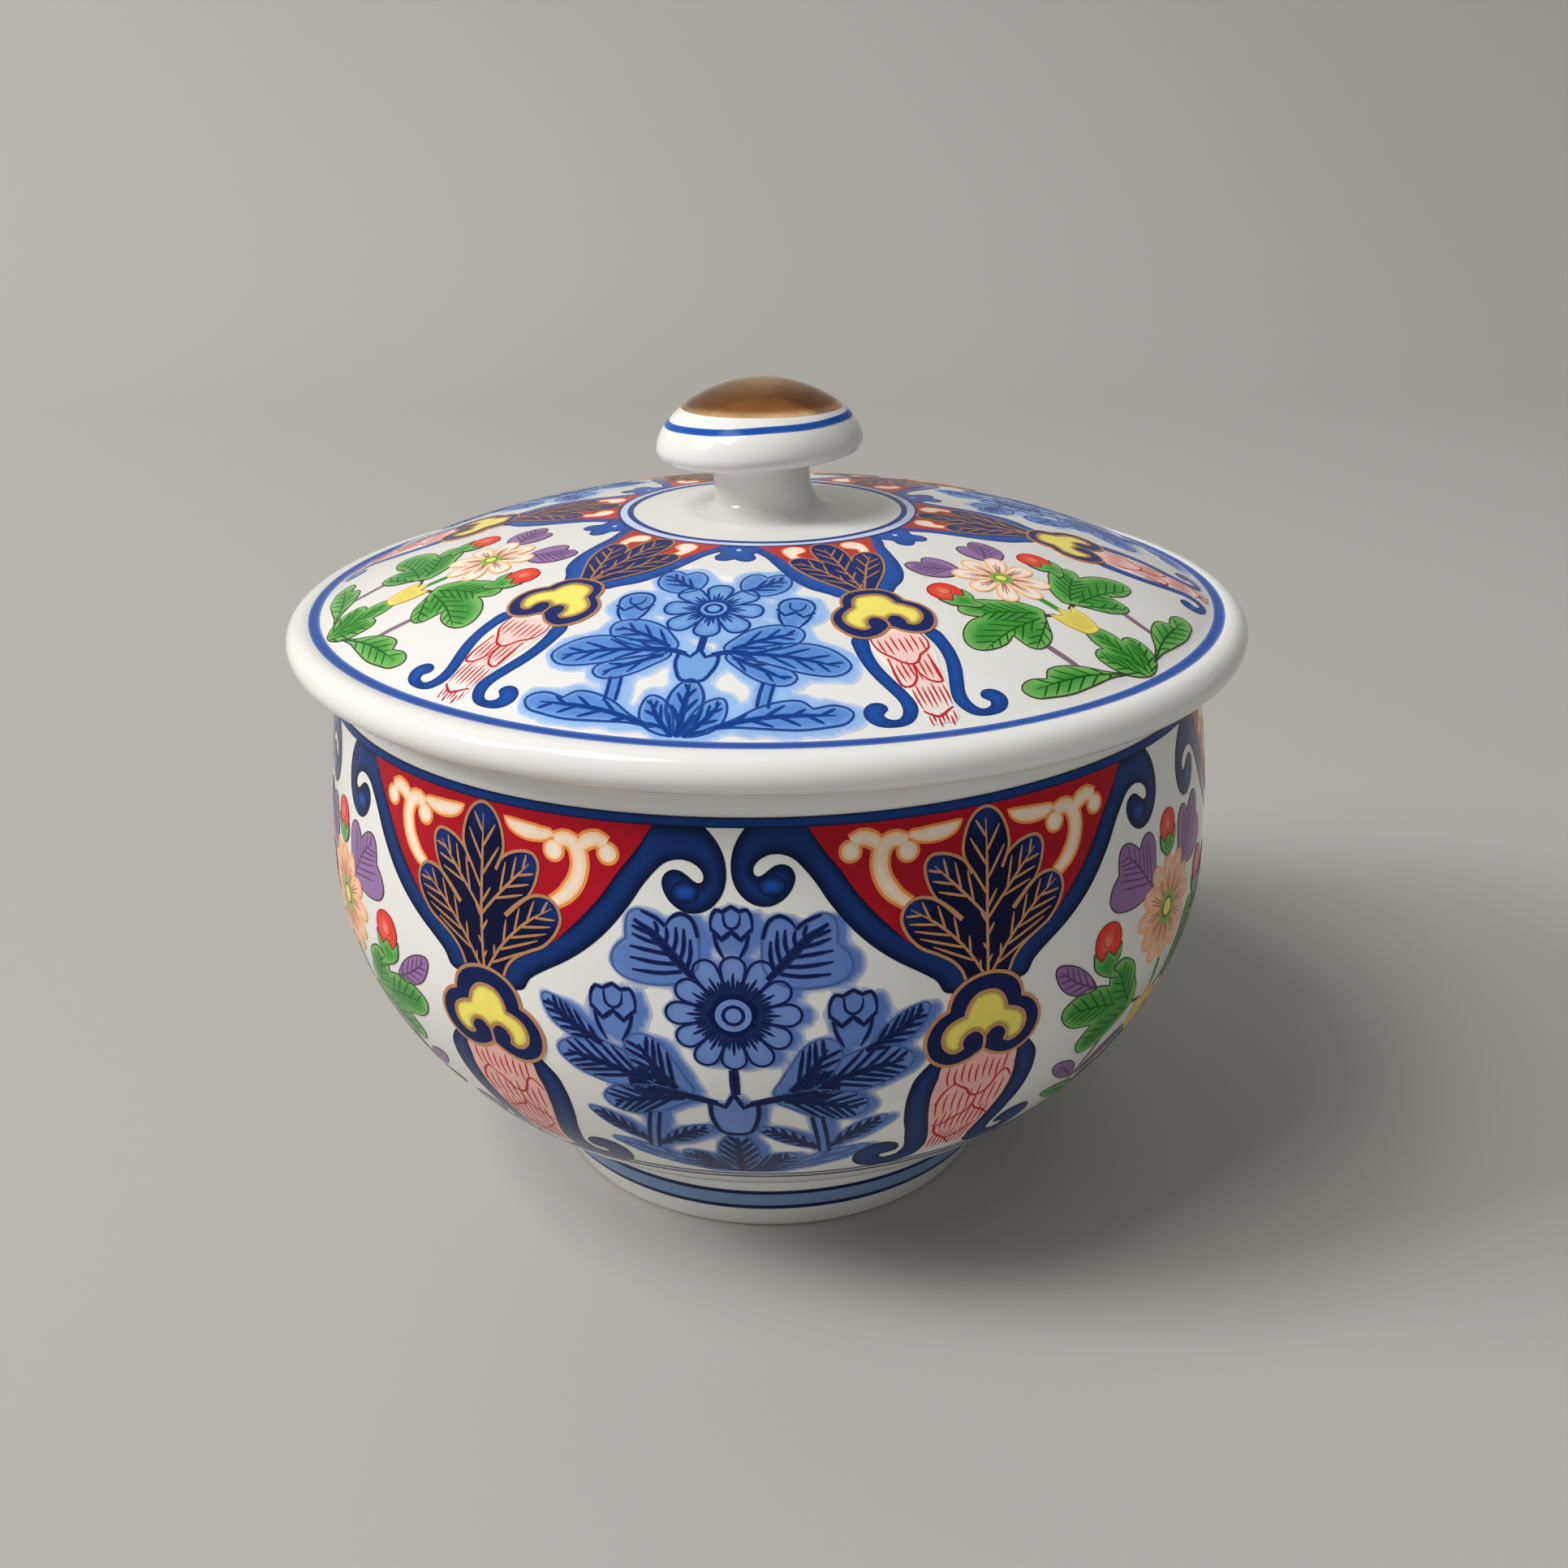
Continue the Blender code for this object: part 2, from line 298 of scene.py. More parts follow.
def lid_underside():
    half = COLLAR_WALL / 2
    inner = COLLAR_OUTER - COLLAR_WALL
    end = np.array((COLLAR_OUTER - half, SEAT - COLLAR_DEPTH + half))
    inside = dome(inner, 0.0, CROWN_HEIGHT - LID_WALL, 60)
    corner = eased((inner, end[1]), inside[0], inside[FILLET_START], COLLAR_FILLET)
    seat = eased((RIM_RADIUS, SEAT), (COLLAR_OUTER, SEAT), (COLLAR_OUTER, end[1]), SEAT_ROUND)
    collar = arc(end, half, 0, -180)
    return joined([(RIM_RADIUS + SEAT_MARGIN, SEAT)], seat, collar, corner, inside[FILLET_START:])


LID_TOP = lid_top()
LID_PROFILE = joined(LID_TOP, lid_underside())
LID_RUNS = runs_of(LID_TOP)
print(f"lid profile: {len(LID_PROFILE)} points, crown at {CROWN_HEIGHT:.1f} mm")

# %% [markdown]
# The knob was made apart and stuck on with slip by hand, so it leans a little. Its stem flows out
# over the dome in a soft fillet. The lean grows from nothing at the fillet to its full angle in
# the stem, which keeps the fillet lying on the dome all round.

# %% Profile of the knob
KNOB_RADIUS = 11.4
KNOB_PEAK = CROWN_HEIGHT + 14.1
KNOB_LEAN = 3.0
KNOB_OFFSET = 0.4
LEAN_BLEND = 3.0
CAP_RISE = 6.9
CAP_POWER = 1.75
CAP_POINTS = 74
LIP_RADIUS = 1.3
LIP_END = -100
UNDER_LIP = 170
STEM_RADIUS = 5.35
STEM_AT = CROWN_HEIGHT + 3.4
FILLET_RADIUS = 10.0
FILLET_SINK = 0.05
FLARE_HANDLES = (2.6, 4.2)
SOLE_SINK = 0.4


def knob_profile():
    widest = KNOB_PEAK - CAP_RISE
    around = arc((0.0, 0.0), 1.0, 90, 0, 60)
    share = (np.abs(around) ** CAP_POWER).sum(1) ** (1 / CAP_POWER)
    cap = around / share[:, None] * (KNOB_RADIUS, CAP_RISE) + (0.0, widest)
    lip = arc((KNOB_RADIUS - LIP_RADIUS, widest), LIP_RADIUS, 0, LIP_END, 12)
    waist = np.array((STEM_RADIUS, STEM_AT))
    inwards = lip[-1] + polar(UNDER_LIP) * (KNOB_RADIUS - STEM_RADIUS - LIP_RADIUS)
    under = sweep(lip[-1], inwards, waist + (0, (lip[-1][1] - STEM_AT) / 2), waist, 30)
    sole = dome(FILLET_RADIUS, 0.0, CROWN_HEIGHT - FILLET_SINK, 12)
    flare = sweep(waist, waist - (0, FLARE_HANDLES[0]), sole[0] - (FLARE_HANDLES[1], 0), sole[0], 24)
    return joined(cap, lip, under, flare, sole - (0, SOLE_SINK))


KNOB_PROFILE = knob_profile()
KNOB_CAP = KNOB_PROFILE[:CAP_POINTS]
KNOB_RUNS = runs_of(KNOB_CAP)
print(f"knob profile: {len(KNOB_PROFILE)} points, peak at {KNOB_PEAK:.1f} mm before it leans")

# %% [markdown]
# Paint is written as it is seen, in red, green and blue from 0 to 255, and turned into the linear
# numbers that the renderer works with. The cobalt runs from a pale wash to nearly black where it
# pools.

# %% Paints
def tint(red, green, blue):
    seen = np.array((red, green, blue), float) / 255
    return np.where(seen <= 0.04045, seen / 12.92, ((seen + 0.055) / 1.055) ** 2.4)


GLAZE_WHITE = tint(233, 232, 228)
NAVY = tint(16, 26, 62)
FRAME_BLUE = tint(20, 52, 112)
FRAME_DARK = tint(8, 17, 48)
LEAF_NAVY = tint(10, 17, 52)
LEAF_GLOW = tint(24, 50, 116)
HEAD_NAVY = tint(18, 30, 80)
DEEP_COBALT = tint(22, 58, 124)
COBALT = tint(28, 82, 168)
COBALT_LINE = tint(10, 54, 132)
COBALT_LEAF = tint(88, 138, 208)
COBALT_PETAL = tint(116, 162, 220)
COBALT_WASH = tint(150, 186, 234)
SMOKY_LEAF = tint(98, 132, 196)
SMOKY_PETAL = tint(112, 143, 203)
SMOKY_WASH = tint(88, 124, 192)
SMOKY_LINE = tint(8, 22, 74)
PALE_RING = tint(200, 212, 236)
RING_BLUE = tint(44, 80, 160)
RING_PALE = tint(96, 128, 190)
KNOB_BLUE = tint(58, 108, 188)
LID_NAVY = tint(26, 40, 98)
FOOT_GREY = tint(72, 80, 104)
FOOT_WASH = tint(120, 148, 190)
IRON_RED = tint(172, 20, 36)
LID_RED = tint(184, 54, 50)
IVORY = tint(250, 232, 214)
IVORY_EDGE = tint(250, 206, 156)
ORANGE = tint(240, 148, 78)
LINE_GOLD = tint(196, 142, 96)
YELLOW = tint(246, 230, 110)
HEART_SHADE = tint(112, 84, 44)
OCHRE = tint(196, 160, 84)
PINK = tint(240, 184, 174)
TAIL_PINK = tint(247, 206, 198)
TAIL_RED = tint(186, 42, 48)
GREEN = tint(62, 150, 58)
PALE_GREEN = tint(124, 186, 100)
DARK_GREEN = tint(22, 92, 22)
PURPLE = tint(150, 112, 164)
DARK_PURPLE = tint(92, 68, 104)
STEM_GREY = tint(132, 108, 124)
PEACH = tint(252, 240, 228)
PEACH_RIM = tint(250, 224, 198)
# The next two are the flowers' peach painted darker for the bowl, where the flower lies in shade: painted
# shade.
SHADED_PETAL_PEACH = tint(246, 206, 174)
SHADED_PETAL_RIM = tint(240, 180, 138)
PEACH_LINE = tint(242, 184, 126)
PEACH_VEIN = tint(176, 92, 70)
BUD_RED = tint(228, 60, 48)
BUD_PALE = tint(242, 138, 108)
BUD_EDGE = tint(170, 44, 34)
BUD_LINE = tint(186, 48, 40)
HEART_GREEN = tint(160, 170, 84)
CALYX = tint(228, 208, 96)
INK = tint(62, 66, 46)
print("paints mixed")

# %% [markdown]
# The painter's marks come in three kinds: a brush stroke that swells and tapers, a filled shape
# whose colour can change towards its edge, and a wash that fades into the bare glaze. Each mark
# becomes a thin closed film. Later coats lie a hundredth of a millimetre higher than earlier ones.

# %% Lines through given points
def flow(points, closed=False, step=0.45):
    """A smooth line through points. A third number in a point makes it a sharp corner."""
    knots = [np.array(p[:2], float) for p in points]
    sharp = [len(p) > 2 for p in points]
    count = len(knots)
    line = []
    for i in range(count if closed else count - 1):
        j = (i + 1) % count
        start, end = knots[i], knots[j]
        chord = end - start
        length = np.linalg.norm(chord)
        leave, arrive = chord, chord
        if not sharp[i] and (closed or i > 0):
            lead = end - knots[i - 1]
            leave = lead * length / np.linalg.norm(lead)
        if not sharp[j] and (closed or j < count - 1):
            lead = knots[(j + 1) % count] - start
            arrive = lead * length / np.linalg.norm(lead)
        pieces = max(1, math.ceil(length / step))
        for k in range(pieces):
            t = k / pieces
            line.append(
                start * (2 * t**3 - 3 * t**2 + 1)
                + leave * (t**3 - 2 * t**2 + t)
                + end * (3 * t**2 - 2 * t**3)
                + arrive * (t**3 - t**2)
            )
    if not closed:
        line.append(knots[-1])
    return np.array(line)


def flip(points):
    return [(-p[0], *p[1:]) for p in reversed(points)]


def twin(half):
    """A closed outline from its right half, which starts and ends on the middle line."""
    return half + flip([p for p in half if abs(p[0]) > TINY])


def to_side(side, points):
    return points if side > 0 else [(-p[0], *p[1:]) for p in points]


def ring(centre, radius, squash=1.0, count=12):
    steps = [math.tau * i / count for i in range(count)]
    x, y = centre
    return [(x + radius * math.cos(a), y + squash * radius * math.sin(a)) for a in steps]


print("lines can be drawn")

# %% Inside, outside and how far
PARALLEL = 1e-9


def is_inside(points, edge):
    x, y = points[:, 0:1], points[:, 1:2]
    ax, ay = edge[:, 0], edge[:, 1]
    bx, by = np.roll(ax, -1), np.roll(ay, -1)
    crosses = (ay > y) != (by > y)
    with np.errstate(divide="ignore", invalid="ignore"):
        at = ax + (y - ay) * (bx - ax) / (by - ay)
    return (np.where(crosses, x < at, False).sum(1) % 2) == 1


def distance_to(points, edge):
    start = edge[None]
    along = np.roll(edge, -1, 0)[None] - start
    away = points[:, None] - start
    t = np.clip((away * along).sum(-1) / np.maximum((along**2).sum(-1), TINY**2), 0, 1)
    return np.sqrt(((away - t[..., None] * along) ** 2).sum(-1).min(1))


def depth_in(points, edge):
    """Distance from an outline, below zero outside it."""
    away = distance_to(points, edge)
    return np.where(is_inside(points, edge), away, -away)


def eases(x):
    x = np.clip(x, 0.0, 1.0)
    return x * x * (3 - 2 * x)


def reach_of(point, direction, edge):
    """How far a straight stroke can go before it meets an outline."""
    along = np.roll(edge, -1, 0) - edge
    cross = direction[0] * along[:, 1] - direction[1] * along[:, 0]
    cross = np.where(np.abs(cross) < PARALLEL, PARALLEL, cross)
    gap = edge - point
    far = (gap[:, 0] * along[:, 1] - gap[:, 1] * along[:, 0]) / cross
    share = (gap[:, 0] * direction[1] - gap[:, 1] * direction[0]) / cross
    hits = far[(share >= 0) & (share <= 1) & (far > TINY)]
    return hits.min() if len(hits) else 0.0


print("distances can be measured")

# %% A sheet to draw on
COAT_BASE = 0.030
COAT_STEP = 0.010
GIRTH = 50.0
ROW_SHARE = 0.87
EDGE_MARGIN = 0.4
NEAREST_CUT = 1e-5
STROKE_STEP = 0.55
SWELL = 0.3
TAPER = 0.35


class Sheet:
    """A flat painting in millimetres, x across and y down, kept as films for each finish."""

    def __init__(self, name):
        self.name = name
        self.films = {}

    def film(self, finish, coat, points, triangles, colours, seam=False):
        self.films.setdefault(finish, []).append((coat, points, triangles, colours, seam))

    def strip(self, finish, coat, sides, shades, closed=False, seam=False):
        """A film from rows of points, with a colour for each row."""
        count = len(sides[0])
        triangles = []
        for row in range(len(sides) - 1):
            for i in range(count if closed else count - 1):
                a = row * count + i
                b = row * count + (i + 1) % count
                triangles += [(a, b, b + count), (a, b + count, a + count)]
        colours = np.repeat(np.array(shades, float), count, 0)
        self.film(finish, coat, np.vstack(sides), triangles, colours, seam)

    def fill(self, finish, coat, outline, colour, rim=None, soft=1.0, grain=1.1, pool=None):
        """A shape in one colour, which can turn into another at its rim or round one place."""
        edge = flow(outline, True)
        low, high = edge.min(0), edge.max(0)
        columns = np.arange(low[0], high[0], grain)
        rows = np.arange(low[1], high[1], grain * ROW_SHARE)
        grid = np.array([(x + grain / 2 * (k % 2), y) for k, y in enumerate(rows) for x in columns])
        grid = grid[is_inside(grid, edge)]
        grid = grid[distance_to(grid, edge) > EDGE_MARGIN * grain]
        corners = [tuple(p) for p in (*edge, *grid)]
        made = delaunay_2d_cdt(corners, [], [list(range(len(edge)))], 1, NEAREST_CUT)
        points = np.array([tuple(p) for p in made[0]])
        colours = np.tile(colour, (len(points), 1))
        if rim is not None:
            share = eases(distance_to(points, edge) / soft)[:, None]
            colours = rim + (colours - rim) * share
        if pool is not None:
            centre, radius, deep = pool
            share = 1 - eases(np.linalg.norm(points - centre, axis=1) / radius)[:, None]
            colours = colours + (deep - colours) * share
        self.film(finish, coat, points, made[2], colours)

    def stroke(self, finish, coat, path, width, colour, ends=(0.35, 0.25), closed=False, core=None):
        """A brush stroke. The ends are shares of its width, and it can be darker along its core."""
        line = flow(path, closed, STROKE_STEP)
        if closed:
            ahead = np.roll(line, -1, 0) - np.roll(line, 1, 0)
        else:
            ahead = np.gradient(line, axis=0)
        ahead /= np.linalg.norm(ahead, axis=1)[:, None]
        across = np.stack((-ahead[:, 1], ahead[:, 0]), 1)
        half = np.full(len(line), width / 2)
        if not closed:
            run = runs_of(line) / runs_of(line)[-1]
            half *= ends[0] + (1 - ends[0]) * eases(run / SWELL)
            half *= ends[1] + (1 - ends[1]) * eases((1 - run) / TAPER)
        sides = [line + across * half[:, None], line - across * half[:, None]]
        shades = [colour, colour]
        if core is not None:
            sides.insert(1, line)
            shades.insert(1, core)
        self.strip(finish, coat, sides, shades, closed)

    def edge(self, finish, coat, outline, width, colour, core=None):
        self.stroke(finish, coat, outline, width, colour, closed=True, core=core)


print("sheet ready")

# %% Veins, washes and bands
VEINS_FROM = 0.06
VEINS_OVER = 0.82
LONGEST_VEIN = 6.0
SHORTEST_VEIN = 0.5
LOOK_AHEAD = 0.3
RIB_ENDS = (1.0, 0.3)
SIDE_VEIN = 0.9
SIDE_ENDS = (0.9, 0.45)
SIDE_POINTS = (0.06, 0.5, 1.0)
WASH_STEP = 0.8
WASH_MERGE = 5.0
WASH_DEPTH = 2.0
WASH_UNEVEN = 0.35
WASH_THINNEST = 0.4
WASH_CUT = 0.05
WASH_FAINTEST = 1e-30
INSIDE_SOFT = 0.8
INSIDE_START = 0.4
BAND_ROWS = (0.0, 0.25, 0.75, 1.0)
BAND_STEPS = 180


class Drawing(Sheet):
    """A sheet that can also take veins, washes, and lines that run all the way round."""

    def veins(
        self, finish, coat, outlines, rib, width, colour, pairs=4, lean=36, span=0.8, core=None, heavy=1.0
    ):
        """A middle rib and straight side veins by turns, which stop short of the leaf's edges."""
        self.stroke(finish, coat, rib, width * heavy, colour, RIB_ENDS, core=core)
        edges = [flow(outline, True) for outline in outlines]
        line = flow(rib)
        run = runs_of(line)

        def along(at):
            return np.array([np.interp(at, run, line[:, axis]) for axis in (0, 1)])

        for k in range(2 * pairs):
            side = 1 - 2 * (k % 2)
            at = run[-1] * (VEINS_FROM + VEINS_OVER * k / (2 * pairs - 1))
            here = along(at)
            onward = along(at + LOOK_AHEAD) - here
            aim = math.atan2(onward[1], onward[0]) + side * math.radians(lean)
            direction = np.array((math.cos(aim), math.sin(aim)))
            length = span * min([reach_of(here, direction, edge) for edge in edges] + [LONGEST_VEIN])
            if length > SHORTEST_VEIN:
                path = [tuple(here + direction * length * t) for t in SIDE_POINTS]
                self.stroke(finish, coat, path, width * SIDE_VEIN, colour, SIDE_ENDS, core=core)

    def wash(self, finish, coat, outlines, colour, inside, spread, drift, fade, grain=0.45):
        """Thin colour that runs out a little way round some shapes and ends in a soft, uneven edge."""
        edges = [flow(outline, True, WASH_STEP) for outline in outlines]
        low = np.min([e.min(0) for e in edges], 0) - 2 * spread
        high = np.max([e.max(0) for e in edges], 0) + 2 * spread + drift
        columns = np.arange(low[0], high[0] + grain, grain)
        rows = np.arange(low[1], high[1] + grain, grain)
        points = np.array([(x, y) for y in rows for x in columns])
        depth = np.full(len(points), -np.inf)
        pooled = np.zeros(len(points))
        for e in edges:
            sunk = depth_in(points, e)
            depth = np.maximum(depth, sunk)
            sunk = np.maximum(sunk, depth_in(points - drift, e))
            pooled += np.exp(WASH_MERGE * np.minimum(sunk, WASH_DEPTH))
        x, y = points.T
        ripple = np.sin(1.3 * x + 0.5 * y) * np.sin(1.1 * y - 0.4 * x)
        level = np.log(np.maximum(pooled, WASH_FAINTEST)) / WASH_MERGE
        level += spread * (1.0 + WASH_UNEVEN * ripple)
        spots, sunk, place, triangles = [], [], {}, []

        def corner(i, j):
            """A point of the grid, or the place between two of them where the wash ends."""
            near, far = key = (min(i, j), max(i, j))
            if key not in place:
                t, up = 0.0, level[near]
                if near != far:
                    t, up = float(np.clip(up / (up - level[far]), WASH_CUT, 1 - WASH_CUT)), 0.0
                place[key] = len(spots)
                spots.append(points[near] + (points[far] - points[near]) * t)
                sunk.append((up, depth[near] + (depth[far] - depth[near]) * t))
            return place[key]

        wide = len(columns)
        for a in [r * wide + c for r in range(len(rows) - 1) for c in range(wide - 1)]:
            for tri in ((a, a + 1, a + wide + 1), (a, a + wide + 1, a + wide)):
                loop = []
                for i, j in zip(tri, tri[1:] + tri[:1]):
                    if level[i] > 0:
                        loop.append(corner(i, i))
                    if (level[i] > 0) != (level[j] > 0):
                        loop.append(corner(i, j))
                triangles += [(loop[0], loop[k], loop[k + 1]) for k in range(1, len(loop) - 1)]
        sunk = np.array(sunk)
        share = WASH_THINNEST + (1 - WASH_THINNEST) * eases(sunk[:, 0] / fade)
        colours = GLAZE_WHITE + (colour - GLAZE_WHITE) * share[:, None]
        colours = colours + (inside - colours) * eases(sunk[:, 1] / INSIDE_SOFT + INSIDE_START)[:, None]
        self.film(finish, coat, np.array(spots), triangles, colours)

    def band(self, finish, coat, top, bottom, colour, core=None, tilt=0.0, waver=0.06):
        """A line that runs all the way round, with a hand's slight waver and tilt."""
        around = np.linspace(-math.pi, math.pi, BAND_STEPS + 1)
        sway = waver * (np.sin(3 * around + top) + 0.6 * np.sin(7 * around + 2 * bottom))
        sway += tilt * np.sin(around)
        sides = [np.stack((around * GIRTH, top + (bottom - top) * t + sway), 1) for t in BAND_ROWS]
        middle = colour if core is None else core
        self.strip(finish, coat, sides, [colour, middle, middle, colour], seam=True)


print("drawing sheet ready")

# %% [markdown]
# On the wheel a profile turns into a bowl. The first tree does that: it takes the profile as its
# mesh, lays out a grid, and sends each row of the grid to one point of the profile and each column
# to one angle. The same tree can lean its result, for the knob. Its map runs round the piece and
# along the profile.

# %% What every tree shares
TURNED_SHARP = 50
FILM_SHARP = 35
LEAN_SOCKETS = [(name, "NodeSocketFloat", 0.0) for name in ("Lean", "Lean Foot", "Lean Blend", "Shift")]


def new_tree(name, sockets):
    tree = bpy.data.node_groups.new(name, "GeometryNodeTree")
    tree.interface.new_socket("Geometry", in_out="INPUT", socket_type="NodeSocketGeometry")
    for label, kind, value in sockets + LEAN_SOCKETS:
        socket = tree.interface.new_socket(label, in_out="INPUT", socket_type=kind)
        if value is not None:
            socket.default_value = value
    tree.interface.new_socket("Geometry", in_out="OUTPUT", socket_type="NodeSocketGeometry")
    bench = Bench(tree)
    return tree, bench, bench.node("NodeGroupInput")


def leaned(bench, inputs, geometry):
    """Tips and shifts geometry towards -X, with nothing at its foot and all of it above the blend."""
    here = bench.here()
    foot = inputs["Lean Foot"]
    span = {0: bench.parts(here)["Z"], 1: foot, 2: foot + inputs["Lean Blend"]}
    grow = bench.node("ShaderNodeMapRange", span, interpolation_type="SMOOTHSTEP")
    turn = {"Vector": here, "Center": bench.vector(z=foot), "Angle": -(inputs["Lean"] * grow)}
    tipped = bench.node("ShaderNodeVectorRotate", turn, rotation_type="Y_AXIS")
    aside = bench.vector(x=-(inputs["Shift"] * grow))
    moved = bench.node("ShaderNodeVectorMath", {0: tipped, 1: aside}, operation="ADD")
    return bench.moved(geometry, moved)


def finish_tree(bench, inputs, geometry, sharp):
    """Every tree ends the same way: smooth faces with sharp corners, real meshes, and a material."""
    angle = bench.node("GeometryNodeInputMeshEdgeAngle")
    limit = {0: angle, 1: math.radians(sharp)}
    soft = bench.node("FunctionNodeCompare", limit, operation="LESS_THAN")
    shape = leaned(bench, inputs, geometry)
    for domain, smooth in (("FACE", True), ("EDGE", soft)):
        values = {"Geometry": shape, "Shade Smooth": smooth}
        shape = bench.node("GeometryNodeSetShadeSmooth", values, domain=domain)
    real = bench.node("GeometryNodeRealizeInstances", {"Geometry": shape})
    clad = bench.node("GeometryNodeSetMaterial", {"Geometry": real, "Material": inputs["Finish"]})
    bench.node("NodeGroupOutput", {"Geometry": clad})


print("parts of the trees ready")

# %% A tree that turns a profile
def turning_tree():
    sockets = [("Steps", "NodeSocketInt", 240), ("Finish", "NodeSocketMaterial", None)]
    tree, bench, inputs = new_tree("turn a profile", sockets)
    profile = inputs["Geometry"]
    count = bench.node("GeometryNodeAttributeDomainSize", {0: profile})
    layout = {"Size X": 1.0, "Size Y": 1.0, "Vertices X": inputs["Steps"] + 1, "Vertices Y": count}
    grid = bench.node("GeometryNodeMeshGrid", layout)
    here = bench.here()
    flat = bench.parts(here)
    row = ((flat["Y"] + 0.5) * (count - 1)).maths("ROUND")
    sample = {"Geometry": profile, "Value": here, "Index": row}
    picked = bench.node("GeometryNodeSampleIndex", sample, data_type="FLOAT_VECTOR", domain="POINT")
    point = bench.parts(picked)
    angle = (flat["X"] + 0.5) * math.tau
    turned = bench.vector(point["X"] * angle.maths("SINE"), point["X"] * angle.maths("COSINE"), point["Z"])
    chart = {"Geometry": grid, "Name": "OFBake", "Value": grid["UV Map"]}
    mapped = bench.node("GeometryNodeStoreNamedAttribute", chart, data_type="FLOAT2", domain="CORNER")
    whole = bench.welded(bench.moved(mapped, turned))
    finish_tree(bench, inputs, whole, TURNED_SHARP)
    return tree


TURNING = turning_tree()
print(f"turning tree: {len(TURNING.nodes)} nodes")

# %% [markdown]
# A modifier's inputs are known by identifiers, so a small helper looks them up by name. It then
# turns the finished result into a plain mesh, because the model that leaves here carries no
# modifiers.

# %% Running a tree on a piece
def line_mesh(name, points):
    """A profile as a mesh of edges in the XZ plane, in metres."""
    mesh = bpy.data.meshes.new(name)
    corners = [(x * MM, 0.0, z * MM) for x, z in points]
    mesh.from_pydata(corners, [(i, i + 1) for i in range(len(corners) - 1)], [])
    return mesh


def on_scene(name, data):
    piece = bpy.data.objects.new(name, data)
    bpy.context.scene.collection.objects.link(piece)
    return piece


def lean_values(lean):
    """How a piece leans, in degrees. Only what belongs to the knob does."""
    return {
        "Lean": math.radians(lean),
        "Lean Foot": CROWN_HEIGHT * MM,
        "Lean Blend": LEAN_BLEND * MM,
        "Shift": KNOB_OFFSET * MM if lean else 0.0,
    }


def made_by(piece, tree, values, lean):
    modifier = piece.modifiers.new(tree.name, "NODES")
    modifier.node_group = tree
    values = {**values, **lean_values(lean)}
    for item in tree.interface.items_tree:
        if item.item_type == "SOCKET" and item.in_out == "INPUT" and item.name in values:
            modifier[item.identifier] = values[item.name]
    bpy.context.view_layer.update()
    graph = bpy.context.evaluated_depsgraph_get()
    shape = piece.evaluated_get(graph)
    mesh = bpy.data.meshes.new_from_object(shape, preserve_all_data_layers=True, depsgraph=graph)
    piece.modifiers.clear()
    piece.data = mesh
    mesh.name = piece.name
    mesh.calc_loop_triangles()
    print(f"{piece.name}: {len(mesh.loop_triangles)} triangles")
    return piece


print("pieces can be made")

# %% [markdown]
# The glaze is glossy and lies over white clay. It isn't one flat white: it pools a little bluer here
# and warmer there, its gloss varies faintly, and its skin has a very low ripple. The ring that stands
# on the table is wiped clean of glaze before firing, so it stays dry and slightly creamy.

# %% Helpers for finishes
def bench_for(name):
    material = bpy.data.materials.new(name)
    material.use_nodes = True
    material.node_tree.nodes.clear()
    return material, Bench(material.node_tree)


def solid(colour):
    return (float(colour[0]), float(colour[1]), float(colour[2]), 1.0)


def own_place(bench):
    return bench.node("ShaderNodeTexCoord")["Object"]


def cloud(bench, scale, detail=2.0, rough=0.5):
    """Soft noise between 0 and 1, in the piece's own coordinates."""
    values = {"Vector": own_place(bench), "Scale": scale, "Detail": detail, "Roughness": rough}
    return bench.node("ShaderNodeTexNoise", values)


def mixed(bench, share, first, second, way="MIX"):
    first, second = (c if isinstance(c, Wire) else solid(c) for c in (first, second))
    values = {0: share, 6: first, 7: second}
    return bench.node("ShaderNodeMix", values, data_type="RGBA", blend_type=way)


def ripple(bench, scale, strength, distance):
    values = {"Strength": strength, "Distance": distance, "Height": cloud(bench, scale, 1.0)}
    return bench.node("ShaderNodeBump", values)


def drawn_colour(bench):
    return bench.node("ShaderNodeAttribute", attribute_name="paint")


def shaded(bench, values):
    shader = bench.node("ShaderNodeBsdfPrincipled", values)
    bench.node("ShaderNodeOutputMaterial", {"Surface": shader})


print("finish helpers ready")

# %% Glazes
GLAZE_COOL = tint(228, 231, 231)
GLAZE_WARM = tint(236, 233, 226)
BISCUIT = tint(214, 204, 188)
GLAZE_EVEN = 0.55
GLAZE_IOR = 1.5
GLAZE_RIPPLE = (70.0, 0.10, 0.0006)
DRY_BELOW = 0.55 * MM


def white_glaze(name, dry_foot=False):
    material, bench = bench_for(name)
    colour = mixed(bench, cloud(bench, 38.0), GLAZE_COOL, GLAZE_WARM)
    colour = mixed(bench, GLAZE_EVEN, colour, GLAZE_WHITE)
    roughness = 0.055 + 0.05 * cloud(bench, 90.0)
    if dry_foot:
        height = bench.parts(own_place(bench))["Z"]
        fade = {0: height, 1: DRY_BELOW * 0.6, 2: DRY_BELOW, 3: 1.0, 4: 0.0}
        dry = bench.node("ShaderNodeMapRange", fade)
        colour = mixed(bench, dry, colour, BISCUIT)
        roughness = roughness + 0.6 * dry
    normal = ripple(bench, *GLAZE_RIPPLE)
    shaded(bench, {"Base Color": colour, "Roughness": roughness, "Normal": normal, "IOR": GLAZE_IOR})
    return material


BOWL_GLAZE = white_glaze("bowl white glaze", True)
LID_GLAZE = white_glaze("lid white glaze")
print("glazes:", BOWL_GLAZE.name, LID_GLAZE.name)

